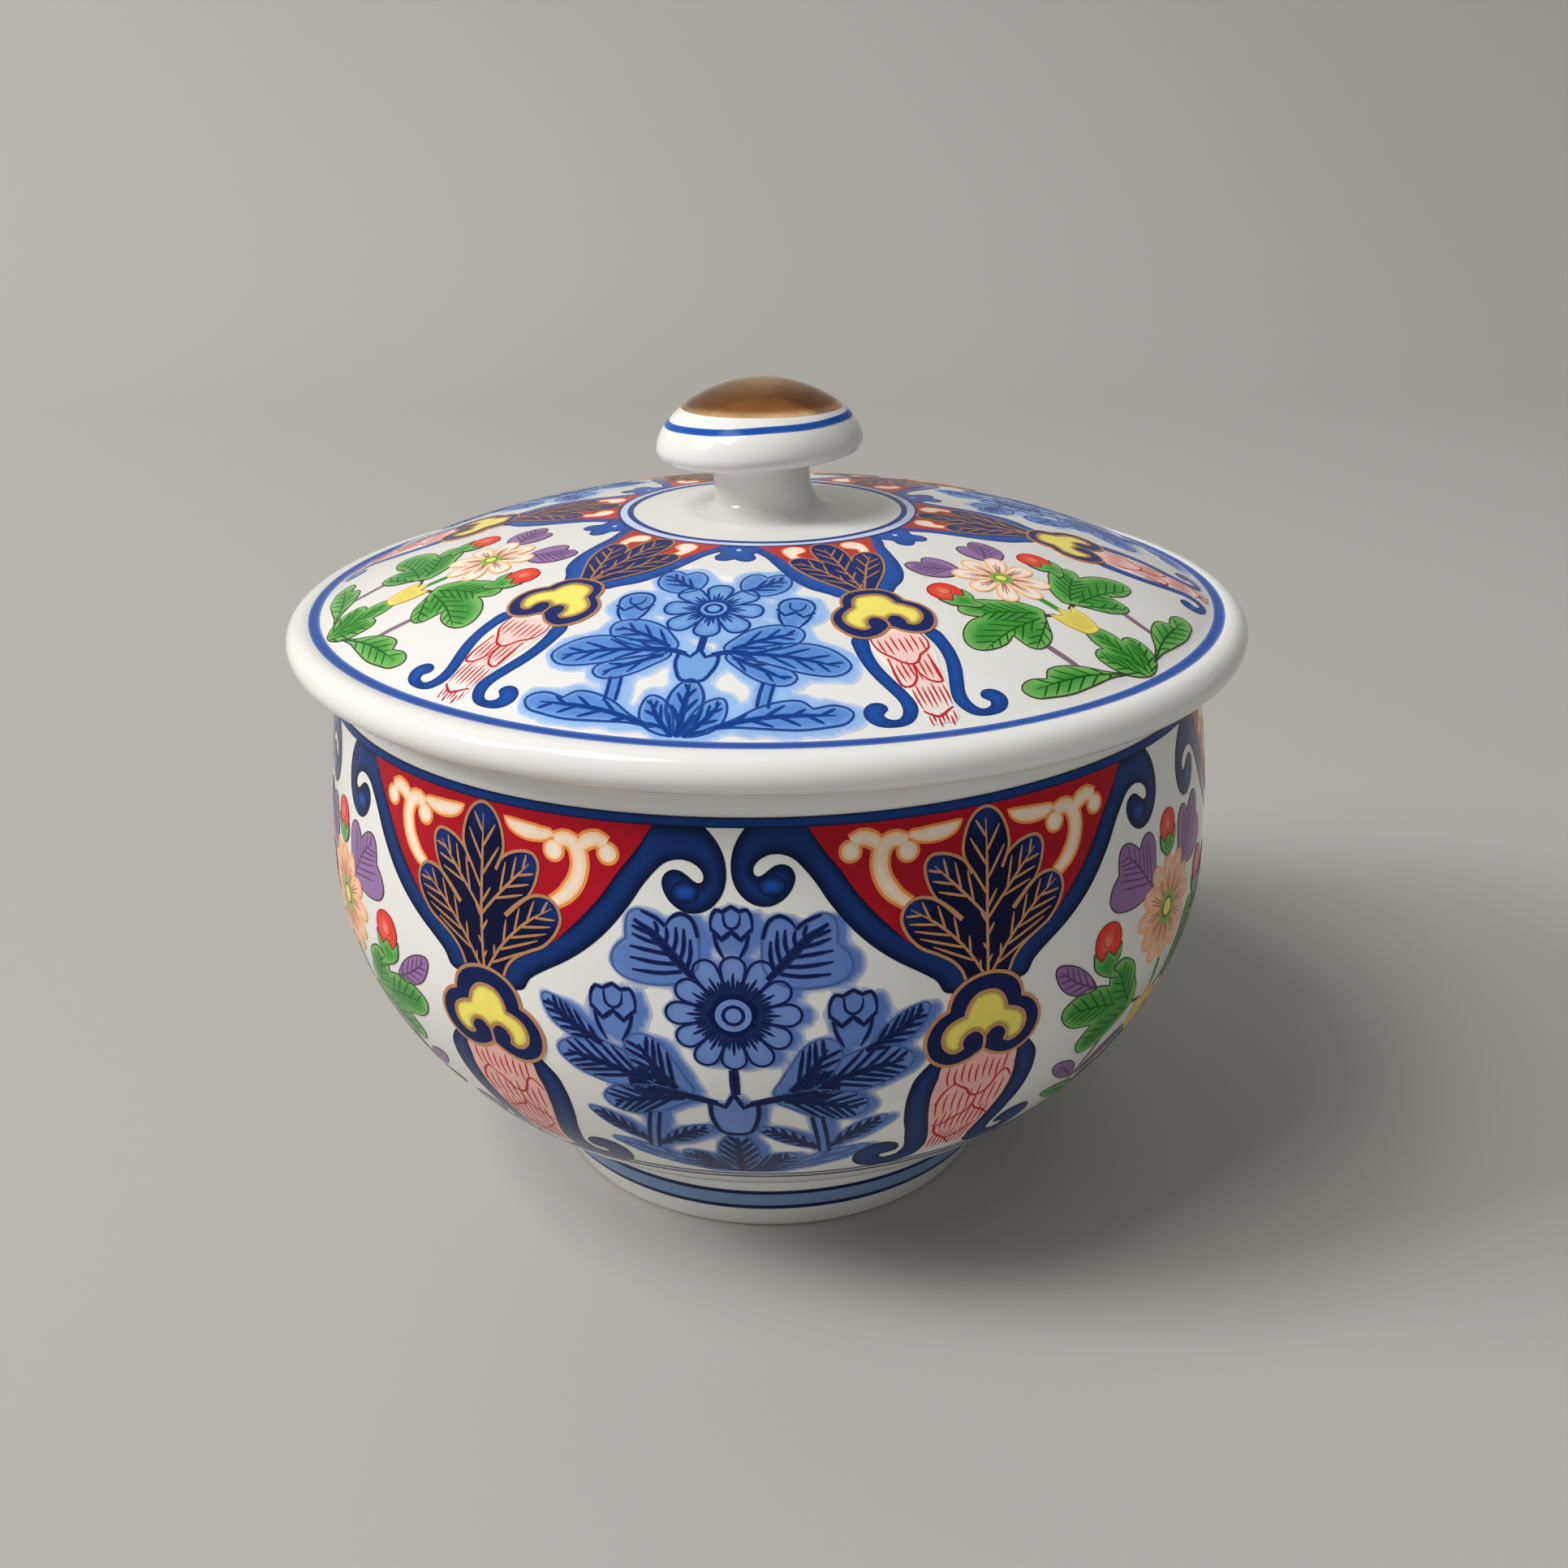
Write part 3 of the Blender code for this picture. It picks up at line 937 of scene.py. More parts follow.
# %% [markdown]
# Cobalt sits under the glaze and is the smoothest. Enamels are fired on top, stand a little proud and
# are softer in gloss. Both mirror little of the room, so that their dark tones stay dark. The gold
# lines are thin and worn to a brownish tan. All three take their colour from the drawing, kept on the
# film's own points, and add the slight unevenness of brush and kiln.

# %% Painted finishes
PAINT_SHINE = 0.08
GOLD_SHINE = 0.5
GOLD_METAL = 0.45


def painted(name, roughness, uneven, scale, bump, metallic=0.0, shine=PAINT_SHINE):
    material, bench = bench_for(name)
    colour = drawn_colour(bench)
    pale, deep = (mixed(bench, 1.0, colour, (1.0 + u,) * 3, "MULTIPLY") for u in (uneven, -uneven))
    values = {
        "Base Color": mixed(bench, cloud(bench, scale, 3.0, 0.6), deep, pale),
        "Roughness": roughness + 0.08 * cloud(bench, 120.0),
        "Metallic": metallic,
        "IOR": GLAZE_IOR,
        "Specular IOR Level": shine,
        "Normal": ripple(bench, *bump),
    }
    shaded(bench, values)
    return material


FINISHES = {
    "cobalt": painted("cobalt under the glaze", 0.06, 0.16, 420.0, GLAZE_RIPPLE),
    "enamel": painted("enamel colours", 0.12, 0.12, 500.0, (600.0, 0.12, 0.0002)),
    "gilding": painted("gold lines", 0.30, 0.18, 900.0, (800.0, 0.15, 0.0001), GOLD_METAL, GOLD_SHINE),
}
print("painted finishes:", ", ".join(FINISHES))

# %% [markdown]
# The cap of the knob is brushed with gold and burnished. Faint marks of the brush run round it. The
# drawing paints a sheen on it: bright in the middle and at the edge, as reflections in burnished gold
# look, and browner between them.

# %% Gold of the knob
# A pale gold for the painted sheen, and a worn brown gold for between.
GOLD_PAINTED_SHEEN = tint(250, 208, 156)
GOLD_WORN = tint(156, 102, 58)
GOLD_STREAK = (0.80, 0.74, 0.68)


def knob_gold():
    material, bench = bench_for("burnished gold")
    stretch = {"Vector": own_place(bench), "Scale": (1.0, 1.0, 6.0)}
    squashed = bench.node("ShaderNodeMapping", stretch)
    marks = {"Vector": squashed, "Scale": 260.0, "Detail": 3.0}
    streak = bench.node("ShaderNodeTexNoise", marks)
    worn = bench.node("ShaderNodeMapRange", {0: streak, 1: 0.35, 2: 0.7})
    gold = drawn_colour(bench)
    values = {
        "Base Color": mixed(bench, worn, gold, mixed(bench, 1.0, gold, GOLD_STREAK, "MULTIPLY")),
        "Metallic": 1.0,
        "Roughness": 0.08 + 0.12 * streak,
        "Normal": ripple(bench, 500.0, 0.12, 0.0002),
    }
    shaded(bench, values)
    return material


KNOB_GOLD = knob_gold()
print("gold:", KNOB_GOLD.name)

# %% [markdown]
# Now the three porcelain pieces are turned. They stand in for the plain solids of the frame, at the
# same sizes.

# %% Turn the porcelain
def turned_piece(name, profile, finish, steps, lean=0.0):
    piece = on_scene(name, line_mesh(name, profile))
    return made_by(piece, TURNING, {"Steps": steps, "Finish": finish}, lean)


bowl = turned_piece("bowl_porcelain", BOWL_PROFILE, BOWL_GLAZE, 240)
lid = turned_piece("lid_porcelain", LID_PROFILE, LID_GLAZE, 240)
knob = turned_piece("knob_porcelain", KNOB_PROFILE, LID_GLAZE, 120, KNOB_LEAN)

# %% [markdown]
# The second tree wraps a flat drawing round the ware, as a transfer is slid onto a pot. Across the
# sheet becomes an angle, down the sheet becomes a length along the profile, and the height of the film
# stays upright on the surface. Each motif is drawn once. The tree first sets out its copies on the flat
# sheet, at the angles where the photograph shows them and at a like spacing round the back. A copy can
# hang a little lower or be a little larger, as work done by hand is.

# %% A tree that wraps a drawing
def wrapping_tree():
    sockets = [
        ("Profile", "NodeSocketObject", None),
        ("Places", "NodeSocketObject", None),
        ("Weld", "NodeSocketBool", False),
        ("Finish", "NodeSocketMaterial", None),
    ]
    tree, bench, inputs = new_tree("wrap a drawing", sockets)
    profile, places = (
        bench.node("GeometryNodeObjectInfo", {"Object": inputs[name]})["Geometry"]
        for name in ("Profile", "Places")
    )
    curve = bench.node("GeometryNodeMeshToCurve", {"Mesh": profile})
    size = bench.node("GeometryNodeInputNamedAttribute", {"Name": "size"}, data_type="FLOAT")
    setting = {"Points": places, "Instance": inputs["Geometry"], "Scale": bench.vector(size, size, 1.0)}
    copies = bench.node("GeometryNodeInstanceOnPoints", setting)
    film = bench.node("GeometryNodeRealizeInstances", {"Geometry": copies})
    flat = bench.parts(bench.here())
    run = bench.node("GeometryNodeSampleCurve", {"Curves": curve, "Length": flat["Y"]}, mode="LENGTH")
    at = bench.parts(run["Position"])
    ahead = bench.parts(run["Tangent"])
    out = at["X"] - flat["Z"] * ahead["Z"]
    turn = flat["X"] / (GIRTH * MM)
    up = at["Z"] + flat["Z"] * ahead["X"]
    film = bench.moved(film, bench.vector(out * turn.maths("SINE"), -(out * turn.maths("COSINE")), up))
    choice = {"Switch": inputs["Weld"], "False": film, "True": bench.welded(film)}
    picked = bench.node("GeometryNodeSwitch", choice, input_type="GEOMETRY")
    finish_tree(bench, inputs, picked, FILM_SHARP)
    return tree


WRAPPING = wrapping_tree()
print(f"wrapping tree: {len(WRAPPING.nodes)} nodes")

# %% [markdown]
# A film is a top, a bottom and the thin wall between them. Its colours stay on its points, and its map
# is the drawing itself, so the painting can be baked to a picture without distortion.

# %% Films from drawings
MAP_MARGIN = 0.01


def on_wall(points):
    return points


def run_at_radius(radius, profile, runs):
    """Length along a profile where it first reaches a distance from the axis."""
    widest = int(np.argmax(profile[:, 0])) + 1
    return np.interp(radius, profile[:widest, 0], runs[:widest])


def on_plan(profile, runs):
    """Takes points of a drawing seen from above and gives their angle and their length on a profile."""

    def place(points):
        around = np.arctan2(points[:, 0], points[:, 1]) * GIRTH
        return np.stack((around, run_at_radius(np.hypot(*points.T), profile, runs)), 1)

    return place


def film_faces(points, triangles, seam):
    """Tops that face out, bottoms that face in, and the walls between them."""
    count = len(points)
    a, b, c = (points[[t[k] for t in triangles]] for k in range(3))
    area = ((b - a)[:, 0] * (c - a)[:, 1] - (b - a)[:, 1] * (c - a)[:, 0]).sum()
    tops = [tuple(t) if area < 0 else tuple(reversed(t)) for t in triangles]
    sides = {(t[k], t[(k + 1) % 3]) for t in tops for k in range(3)}
    walls = sorted((i, j) for i, j in sides if (j, i) not in sides)
    if seam:
        walls = [(i, j) for i, j in walls if abs(points[i][0] - points[j][0]) > TINY]
    bottoms = [tuple(count + i for i in reversed(t)) for t in tops]
    return tops + bottoms + [(j, i, count + i, count + j) for i, j in walls]


def film_mesh(name, films, place):
    corners, faces, shades, sheet = [], [], [], []
    for coat, points, triangles, colours, seam in films:
        first = len(corners)
        faces += [tuple(first + i for i in face) for face in film_faces(points, triangles, seam)]
        for height in (COAT_BASE + COAT_STEP * coat, 0.0):
            corners += [(x * MM, y * MM, height * MM) for x, y in place(points)]
            shades += [(*colour, 1.0) for colour in colours]
            sheet += [tuple(p) for p in points]
    mesh = bpy.data.meshes.new(name)
    mesh.from_pydata(corners, [], faces)
    paint = mesh.attributes.new("paint", "FLOAT_COLOR", "POINT")
    paint.data.foreach_set("color", np.array(shades).ravel())
    sheet = np.array(sheet)
    low, high = sheet.min(0), sheet.max(0)
    flat = MAP_MARGIN + (1 - 2 * MAP_MARGIN) * (sheet - low) / (high - low)
    spots = np.zeros(len(mesh.loops), int)
    mesh.loops.foreach_get("vertex_index", spots)
    mesh.uv_layers.new(name="OFBake").data.foreach_set("uv", flat[spots].ravel())
    return mesh


print("films can be made")

# %% Painting on a surface
PAINTED = []


def places_mesh(places):
    """A point for each copy: its angle, how far it is dropped, and its size."""
    spots = [(math.radians(angle) * GIRTH * MM, drop * MM, 0.0) for angle, drop, size in places]
    mesh = bpy.data.meshes.new("places")
    mesh.from_pydata(spots, [], [])
    sizes = mesh.attributes.new("size", "FLOAT", "POINT")
    sizes.data.foreach_set("value", [size for angle, drop, size in places])
    return mesh


def even(*angles):
    return [(angle, 0.0, 1.0) for angle in angles]


def paint_on(drawing, surface, places, body, slot, finishes=FINISHES, weld=False, lean=0.0):
    """One piece for each finish of a drawing, wrapped on a surface at every place."""
    profile, place = surface
    where = on_scene("helper places", places_mesh(places))
    for finish, films in drawing.films.items():
        name = f"{drawing.name}_{finish}"
        ordered = sorted(films, key=lambda film: film[0])
        piece = on_scene(name, film_mesh(name, ordered, place))
        values = {"Profile": profile, "Places": where, "Weld": weld, "Finish": finishes[finish]}
        PAINTED.append((made_by(piece, WRAPPING, values, lean), body, slot))
    bpy.data.objects.remove(where)


WALL_LINE, DOME_LINE, CAP_LINE = (
    on_scene("helper " + name, line_mesh(name, profile))
    for name, profile in (("wall", BOWL_WALL), ("dome", LID_TOP), ("cap", KNOB_CAP))
)
WALL = (WALL_LINE, on_wall)
DOME = (DOME_LINE, on_plan(LID_TOP, LID_RUNS))
CAP = (CAP_LINE, on_plan(KNOB_CAP, KNOB_RUNS))
print("surfaces to paint on: bowl wall, lid dome, knob cap")

# %% [markdown]
# Under the rim hang six lappets. Each is a cobalt bracket with curled corners, filled with iron red
# and ivory scrolls. A dark leaf with gold veins rises in it, and below hang a yellow cloud head and a
# fringed pink tail between two curling legs. The lid has shorter ones, so the painter's ways with
# bracket, tail, leaf and head are written for both.

# %% Parts that both lappets share
def bracket(sheet, half, leg, colour, rim, half_look, leg_look):
    """The frame of a lappet and its two legs. A look is how soft the rim is, and the grain."""
    sheet.fill("cobalt", 0, twin(half), colour, rim, *half_look)
    for side in (-1, 1):
        sheet.fill("cobalt", 0, to_side(side, leg), colour, rim, *leg_look)


def tail_lines(sheet, scales, rows, scale_pen, strand_pen, count, sway):
    """Scales of a tail, and rows of fine strands between them.

    A pen is a width and two ends. A sway is its size, its pace from strand to strand, how far the
    strands bend aside, and how much of the sway is left at their lower ends.
    """
    for line in scales:
        sheet.stroke("enamel", 3, line, scale_pen[0], TAIL_RED, scale_pen[1:])
    size, pace, bend, settle = sway
    for row, (top, bottom, reach) in enumerate(rows):
        for k in range(count):
            x = -reach + 2 * reach * k / (count - 1)
            lift = size * math.sin(pace * k + row)
            line = [(x, top + lift), (x - bend, (top + bottom) / 2), (x * 0.95, bottom + settle * lift)]
            sheet.stroke("enamel", 3, line, strand_pen[0], TAIL_RED, strand_pen[1:])


def lobe(sheet, outline, rib, pairs, width, ground, glow):
    """One lobe of the dark leaf, which can be paler towards its tip, with gold veins."""
    sheet.fill("enamel", 5, outline, ground, grain=0.8, pool=(rib[-1], 2.6, glow))
    sheet.veins("gilding", 7, [outline], rib, width, LINE_GOLD, pairs, lean=31)


def dark_leaf(sheet, middle, sides, paints, widths):
    """A leaf with a middle lobe and lobes on both sides. A lobe's gold edge takes some of its points."""
    middle_vein, side_vein, edge = widths
    outline, rib, last, ends = middle
    lobe(sheet, twin(outline), rib, 5, middle_vein, *paints)
    sheet.stroke("gilding", 7, flip(outline[1:last]) + outline[:last], edge, LINE_GOLD, ends)
    for side in (-1, 1):
        for outline, rib, pairs, last, ends in sides:
            lobe(sheet, to_side(side, outline), to_side(side, rib), pairs, side_vein, *paints)
            sheet.stroke("gilding", 7, to_side(side, outline[2:last]), edge, LINE_GOLD, ends)


def cloud_head(sheet, outer, heart, ground, line):
    """Navy head with a gold edge and a yellow heart. The heart's edge curls in twice at the bottom."""
    foot, end = heart[-1][1], outer[-1][1]
    sheet.fill("enamel", 6, twin(outer), ground, grain=1.2)
    sheet.edge("gilding", 8, twin(outer), line * 1.2, LINE_GOLD)
    sheet.fill("enamel", 7, twin(heart), YELLOW, rim=HEART_SHADE, soft=0.55, grain=0.4)
    sheet.edge("gilding", 9, twin(heart), line, LINE_GOLD)
    middle = [(0, foot), (0.06, (foot + end) / 2), (0, end)]
    sheet.stroke("gilding", 9, middle, line * 1.1, LINE_GOLD, (1.0, 1.3))


print("shared parts of the lappets ready")

# %% The lappet of the bowl: cobalt
BOWL_LAPPETS = [
    (-32.6, 0.6, 1.02),
    (23.4, 0.0, 1.0),
    (84.2, 0.2, 1.0),
    (144.9, 0.5, 1.01),
    (205.6, 0.3, 1.0),
    (266.3, 0.5, 1.02),
]
BOWL_FRAME = [
    (0, 2.5), (22, 2.5, 1), (23.1, 3.8), (23.8, 5.3), (24, 7), (23.7, 8.5), (22.9, 9.7), (21.8, 10.4),
    (20.5, 10.5), (19.3, 9.9), (18.5, 8.9), (18.2, 7.8), (18.5, 7), (19.2, 6.6), (20, 6.7), (20.7, 7.2),
    (21.4, 7.7), (21.9, 7.5), (21.9, 6.8), (21.3, 6.1), (20.4, 5.7), (19.4, 5.7), (18.4, 6.1),
    (17.4, 7.1), (16.4, 8.4), (15.2, 10.3), (13.2, 12.9), (11.2, 14.9), (9, 16.6), (6.8, 18), (5.2, 19.2),
    (4.2, 20.6), (0, 20.9),
]
BOWL_LEG = [
    (4.2, 27), (5.4, 28.2), (6.7, 30), (7.15, 32), (7.2, 34), (6.9, 36.5), (6.4, 38.5), (6, 40.5),
    (5.6, 42.3), (5.7, 43.5), (6.2, 44.4), (7.4, 44.7), (8.1, 44.2), (8, 43.6), (7.2, 43.4), (6.4, 43),
    (6.3, 41.9), (7, 40.9), (8.4, 40.4), (9.8, 40.6), (10.9, 41.5), (11.4, 43), (11.2, 44.6), (10, 46.3),
    (8, 47.2), (5.5, 47), (3.8, 46.3), (2.9, 44.8), (2.8, 43), (3.1, 41), (3.7, 38.5), (4.3, 36),
    (4.6, 33), (4.4, 31.2), (4, 29),
]
FRAME_INNER = [(17.2, 3), (15.8, 5.2), (14.2, 7.3), (12.6, 9.7), (10.8, 11.9), (9, 13.8), (7.4, 15.2)]
FRAME_CURL = ring((20.3, 8.6), 1.3, 0.8)
bowl_lappet = Drawing("bowl_lappet")
bracket(bowl_lappet, BOWL_FRAME, BOWL_LEG, FRAME_BLUE, FRAME_DARK, (1.25, 0.6), (1.1, 0.6))
for side in (-1, 1):
    bowl_lappet.stroke("cobalt", 1, to_side(side, FRAME_INNER), 1.3, FRAME_BLUE, core=FRAME_DARK)
    bowl_lappet.fill("cobalt", 1, to_side(side, FRAME_CURL), COBALT, rim=FRAME_DARK, soft=0.9, grain=0.5)
print("cobalt of the lappet:", len(bowl_lappet.films["cobalt"]), "films")

# %% The lappet of the bowl: red, ivory and pink
RED_FIELD = [
    (0, 2.6), (17.4, 2.6, 1), (15.8, 5.1), (14.2, 7.2), (12.6, 9.6), (10.8, 11.8), (9, 13.7), (7.4, 15.1),
    (0, 16),
]
TALL_SCROLL = [
    (7.8, 11.1), (9.1, 10.1), (10.1, 8.7), (10.5, 7.2), (10.3, 5.9), (9.7, 5.1), (8.8, 4.9), (8, 5.3),
]
SHORT_SCROLL = [(10.4, 5.5), (11.2, 4.75), (12.2, 4.5), (13, 4.9)]
TONGUE = [
    (7.8, 4.6), (6.4, 4.3), (4.6, 4.15), (2.5, 4, 1), (3.2, 4.9), (4.4, 5.4), (5.8, 5.5), (7.2, 5.2),
]
BOWL_TAIL = [
    (0, 27.5), (3.8, 28.6), (4.3, 31.2), (4.5, 33), (4.2, 36), (3.6, 38.5), (3, 41), (2.7, 43),
    (2.8, 44.8), (0, 46.6),
]
BOWL_TAIL_END = ((0, 46.5), 7.0, GLAZE_WHITE)
BOWL_SCALES = (
    [
        (-2.4, 31.6), (-1.6, 32.4), (-0.8, 33), (-0.2, 34), (0.6, 34.5), (1.6, 34.2), (2.2, 33.2),
        (2.6, 32.1), (3.4, 31.5), (4.4, 32.9),
    ],
    [(-3.9, 34.8), (-3.3, 32.9), (-2.4, 31.9)],
    [(-3.4, 38.6), (-2.4, 38.8), (-1.4, 38.2), (-0.6, 37.6), (0.2, 37.2), (0.7, 36), (0.75, 34.6)],
    [(0.75, 36.2), (1.5, 37.2), (2.4, 37.8), (3.4, 38.9)],
    [(-2.8, 39), (-2.5, 40.5), (-1.6, 41.6), (-0.6, 42.6), (0, 43.6), (0.8, 44.6)],
    [(-0.5, 42.6), (0.6, 42.4), (1.4, 41.4), (2.6, 40.2)],
)
BOWL_ROWS = ((29.4, 32, 3.2), (33.2, 36.6, 3.6), (36.6, 40.2, 2.9), (40.4, 44.8, 2.2))


def scroll(sheet, path, width, knob, reach):
    """An ivory scroll with an orange edge that ends in a round knob."""
    sheet.stroke("enamel", 3, path, width + 0.58, ORANGE, (0.8, 0.9))
    sheet.fill("enamel", 3, ring(knob, reach + 0.27), ORANGE, grain=0.6)
    sheet.stroke("enamel", 4, path, width, IVORY_EDGE, (0.7, 0.9), core=IVORY)
    sheet.fill("enamel", 5, ring(knob, reach), IVORY, rim=IVORY_EDGE, soft=0.35, grain=0.4)


bowl_lappet.fill("enamel", 2, twin(RED_FIELD), IRON_RED, grain=1.2)
for side in (-1, 1):
    scroll(bowl_lappet, to_side(side, TALL_SCROLL), 1.4, (side * 7.85, 6.1), 0.9)
    scroll(bowl_lappet, to_side(side, SHORT_SCROLL), 1.3, (side * 13.2, 5.7), 0.85)
    bowl_lappet.edge("enamel", 3, to_side(side, TONGUE), 0.48, ORANGE)
    bowl_lappet.fill("enamel", 4, to_side(side, TONGUE), IVORY, rim=IVORY_EDGE, soft=0.3, grain=0.5)
bowl_lappet.fill("enamel", 2, twin(BOWL_TAIL), PINK, grain=1.0, pool=BOWL_TAIL_END)
bowl_sway = (0.35, 2.1, 0.12, 0.7)
tail_lines(bowl_lappet, BOWL_SCALES, BOWL_ROWS, (0.32, 0.7, 0.6), (0.22, 0.4, 0.5), 9, bowl_sway)
print("enamel of the lappet:", len(bowl_lappet.films["enamel"]), "films")

# %% The lappet of the bowl: leaf, cloud head and gold
BOWL_LEAF = [(0, 9), (2.4, 11.5), (4.2, 14), (3.4, 16.8), (2.3, 19.6), (0, 20.2)]
MIDDLE_LOBE = [
    (0, 3.1), (0.9, 3.4), (1.6, 4.1), (2.1, 5.1), (2.4, 6.3), (2.4, 7.3), (2, 8.3), (1.6, 9.2), (1.2, 11),
    (0.8, 14), (0.4, 18.6), (0, 19.3),
]
SECOND_LOBE = [
    (0.6, 17), (1, 12.2), (1.6, 9.1, 1), (2.2, 8), (3.3, 7.2), (4.6, 6.8), (5.7, 6.9), (6.25, 7.7),
    (6.2, 8.7), (5.8, 10), (5.1, 11.2), (3.9, 12.4), (2.6, 13.5), (1.4, 16),
]
THIRD_LOBE = [
    (0.4, 19.3), (1.4, 16.2), (2.7, 13.4), (4.2, 11.9), (5.4, 11), (6.4, 10.7), (7.5, 10.8), (8.3, 11.5),
    (8.6, 12.6), (8.3, 13.6), (7.7, 14.6), (6.7, 15.6), (5.2, 16.4), (3.8, 17.3), (2.8, 18.4),
    (2.3, 19.6), (1.2, 20),
]
MIDDLE_RIB = [(0, 19.2), (-0.1, 13.8), (0, 8), (0, 4.2)]
SECOND_RIB = [(0, 13.8), (1.3, 12.2), (3.1, 10.2), (5.3, 7.9)]
THIRD_RIB = [(0.5, 19.2), (2, 16.8), (3.8, 14.7), (5.6, 13.1), (7.7, 11.7)]
BOWL_HEAD = [
    (0, 19.3), (1.2, 19.45), (2.5, 20), (3.45, 20.9), (3.9, 22), (3.95, 22.6, 1), (4.75, 22.95),
    (5.55, 23.75), (6.1, 25), (6.1, 26.3), (5.6, 27.6), (4.5, 28.6), (3.1, 29.05), (1.8, 28.8),
    (0.8, 28.3), (0, 27.7, 1),
]
BOWL_HEART = [
    (0, 21.2), (0.8, 21.3), (1.5, 21.8), (2, 22.6), (2.25, 23.5, 1), (3.2, 23.8), (4.05, 24.4),
    (4.45, 25.4), (4.25, 26.5), (3.6, 27.2), (2.9, 27.4), (2.25, 27.1, 1), (2.45, 26.4), (2.1, 25.6),
    (1.35, 25.2), (0.6, 25.4), (0, 26.2, 1),
]
bowl_middle = (MIDDLE_LOBE, MIDDLE_RIB, 8, (1.0, 1.0))
bowl_sides = [(SECOND_LOBE, SECOND_RIB, 4, 11, (1.0, 0.8)), (THIRD_LOBE, THIRD_RIB, 5, 16, (1.6, 1.0))]
bowl_lappet.fill("enamel", 4, twin(BOWL_LEAF), LEAF_NAVY, grain=1.2)
dark_leaf(bowl_lappet, bowl_middle, bowl_sides, (LEAF_NAVY, LEAF_GLOW), (0.3, 0.28, 0.3))
cloud_head(bowl_lappet, BOWL_HEAD, BOWL_HEART, HEAD_NAVY, 0.3)
paint_on(bowl_lappet, WALL, BOWL_LAPPETS, "bowl", "bowl_glaze")

# %% [markdown]
# Between the lappets stand flower sprays, in cobalt and in enamel colours by turns. All of them share
# one plan: a daisy with two leaves above, a bud on each side, three-part leaves on a tulip-shaped
# calyx, and leaves lying on the ground. The bowl's has a third bud at the top. The plan is written once
# for the bowl and once for the lid, for the right side only, and two painters colour it.

# %% Shapes of the sprays
BLADE_WIDTHS = ((0.15, 0.5), (0.4, 0.95), (0.65, 1.0), (0.88, 0.62))
PETAL_WIDTHS = ((0.0, 0.45), (0.4, 0.85), (0.75, 1.0), (0.94, 0.62))
PETAL_LENGTHS = (0.96, 1.01)


def there_and_back(widths):
    """Steps along one side of a shape, round its tip, and back along the other side."""
    return [*widths, (1.0, 0.0)] + [(t, -w) for t, w in reversed(widths)]


def blade(base, tip, half, sway=0.0):
    """A plain pointed leaf: its outline, its rib and its pairs of veins."""
    base, tip = np.array(base, float), np.array(tip, float)
    ahead = tip - base
    across = np.array((-ahead[1], ahead[0])) / np.linalg.norm(ahead)

    def at(t, w):
        return tuple(base + ahead * t + across * (w * half + 4 * sway * t * (1 - t)))

    outline = [(*base, 1)] + [at(t, w) for t, w in there_and_back(BLADE_WIDTHS)]
    return outline, [at(t, 0) for t in (0, 0.5, 0.9)], 4


def petal(centre, angle, inner, outer, half):
    """Outline of a petal. The angle is in degrees, clockwise from straight up."""
    angle = math.radians(angle)
    ahead = np.array((math.sin(angle), -math.cos(angle)))
    across = np.array((math.cos(angle), math.sin(angle)))

    def at(t, w):
        return tuple(np.array(centre) + ahead * (inner + (outer - inner) * t) + across * half * w)

    return [at(t, w) for t, w in there_and_back(PETAL_WIDTHS)]


def ray(centre, angle, reaches):
    """Points on a line out from a flower's middle."""
    angle = math.radians(angle)
    way = np.array((math.sin(angle), -math.cos(angle)))
    return [tuple(np.array(centre) + way * reach) for reach in reaches]


print("shapes of leaves and petals ready")

# %% [markdown]
# In a plan a leaf is an outline, a rib and a number of pairs of veins. A bud is its middle, its reach
# and the foot of its calyx. A flower is its middle, its reach, its number of petals and its heart.

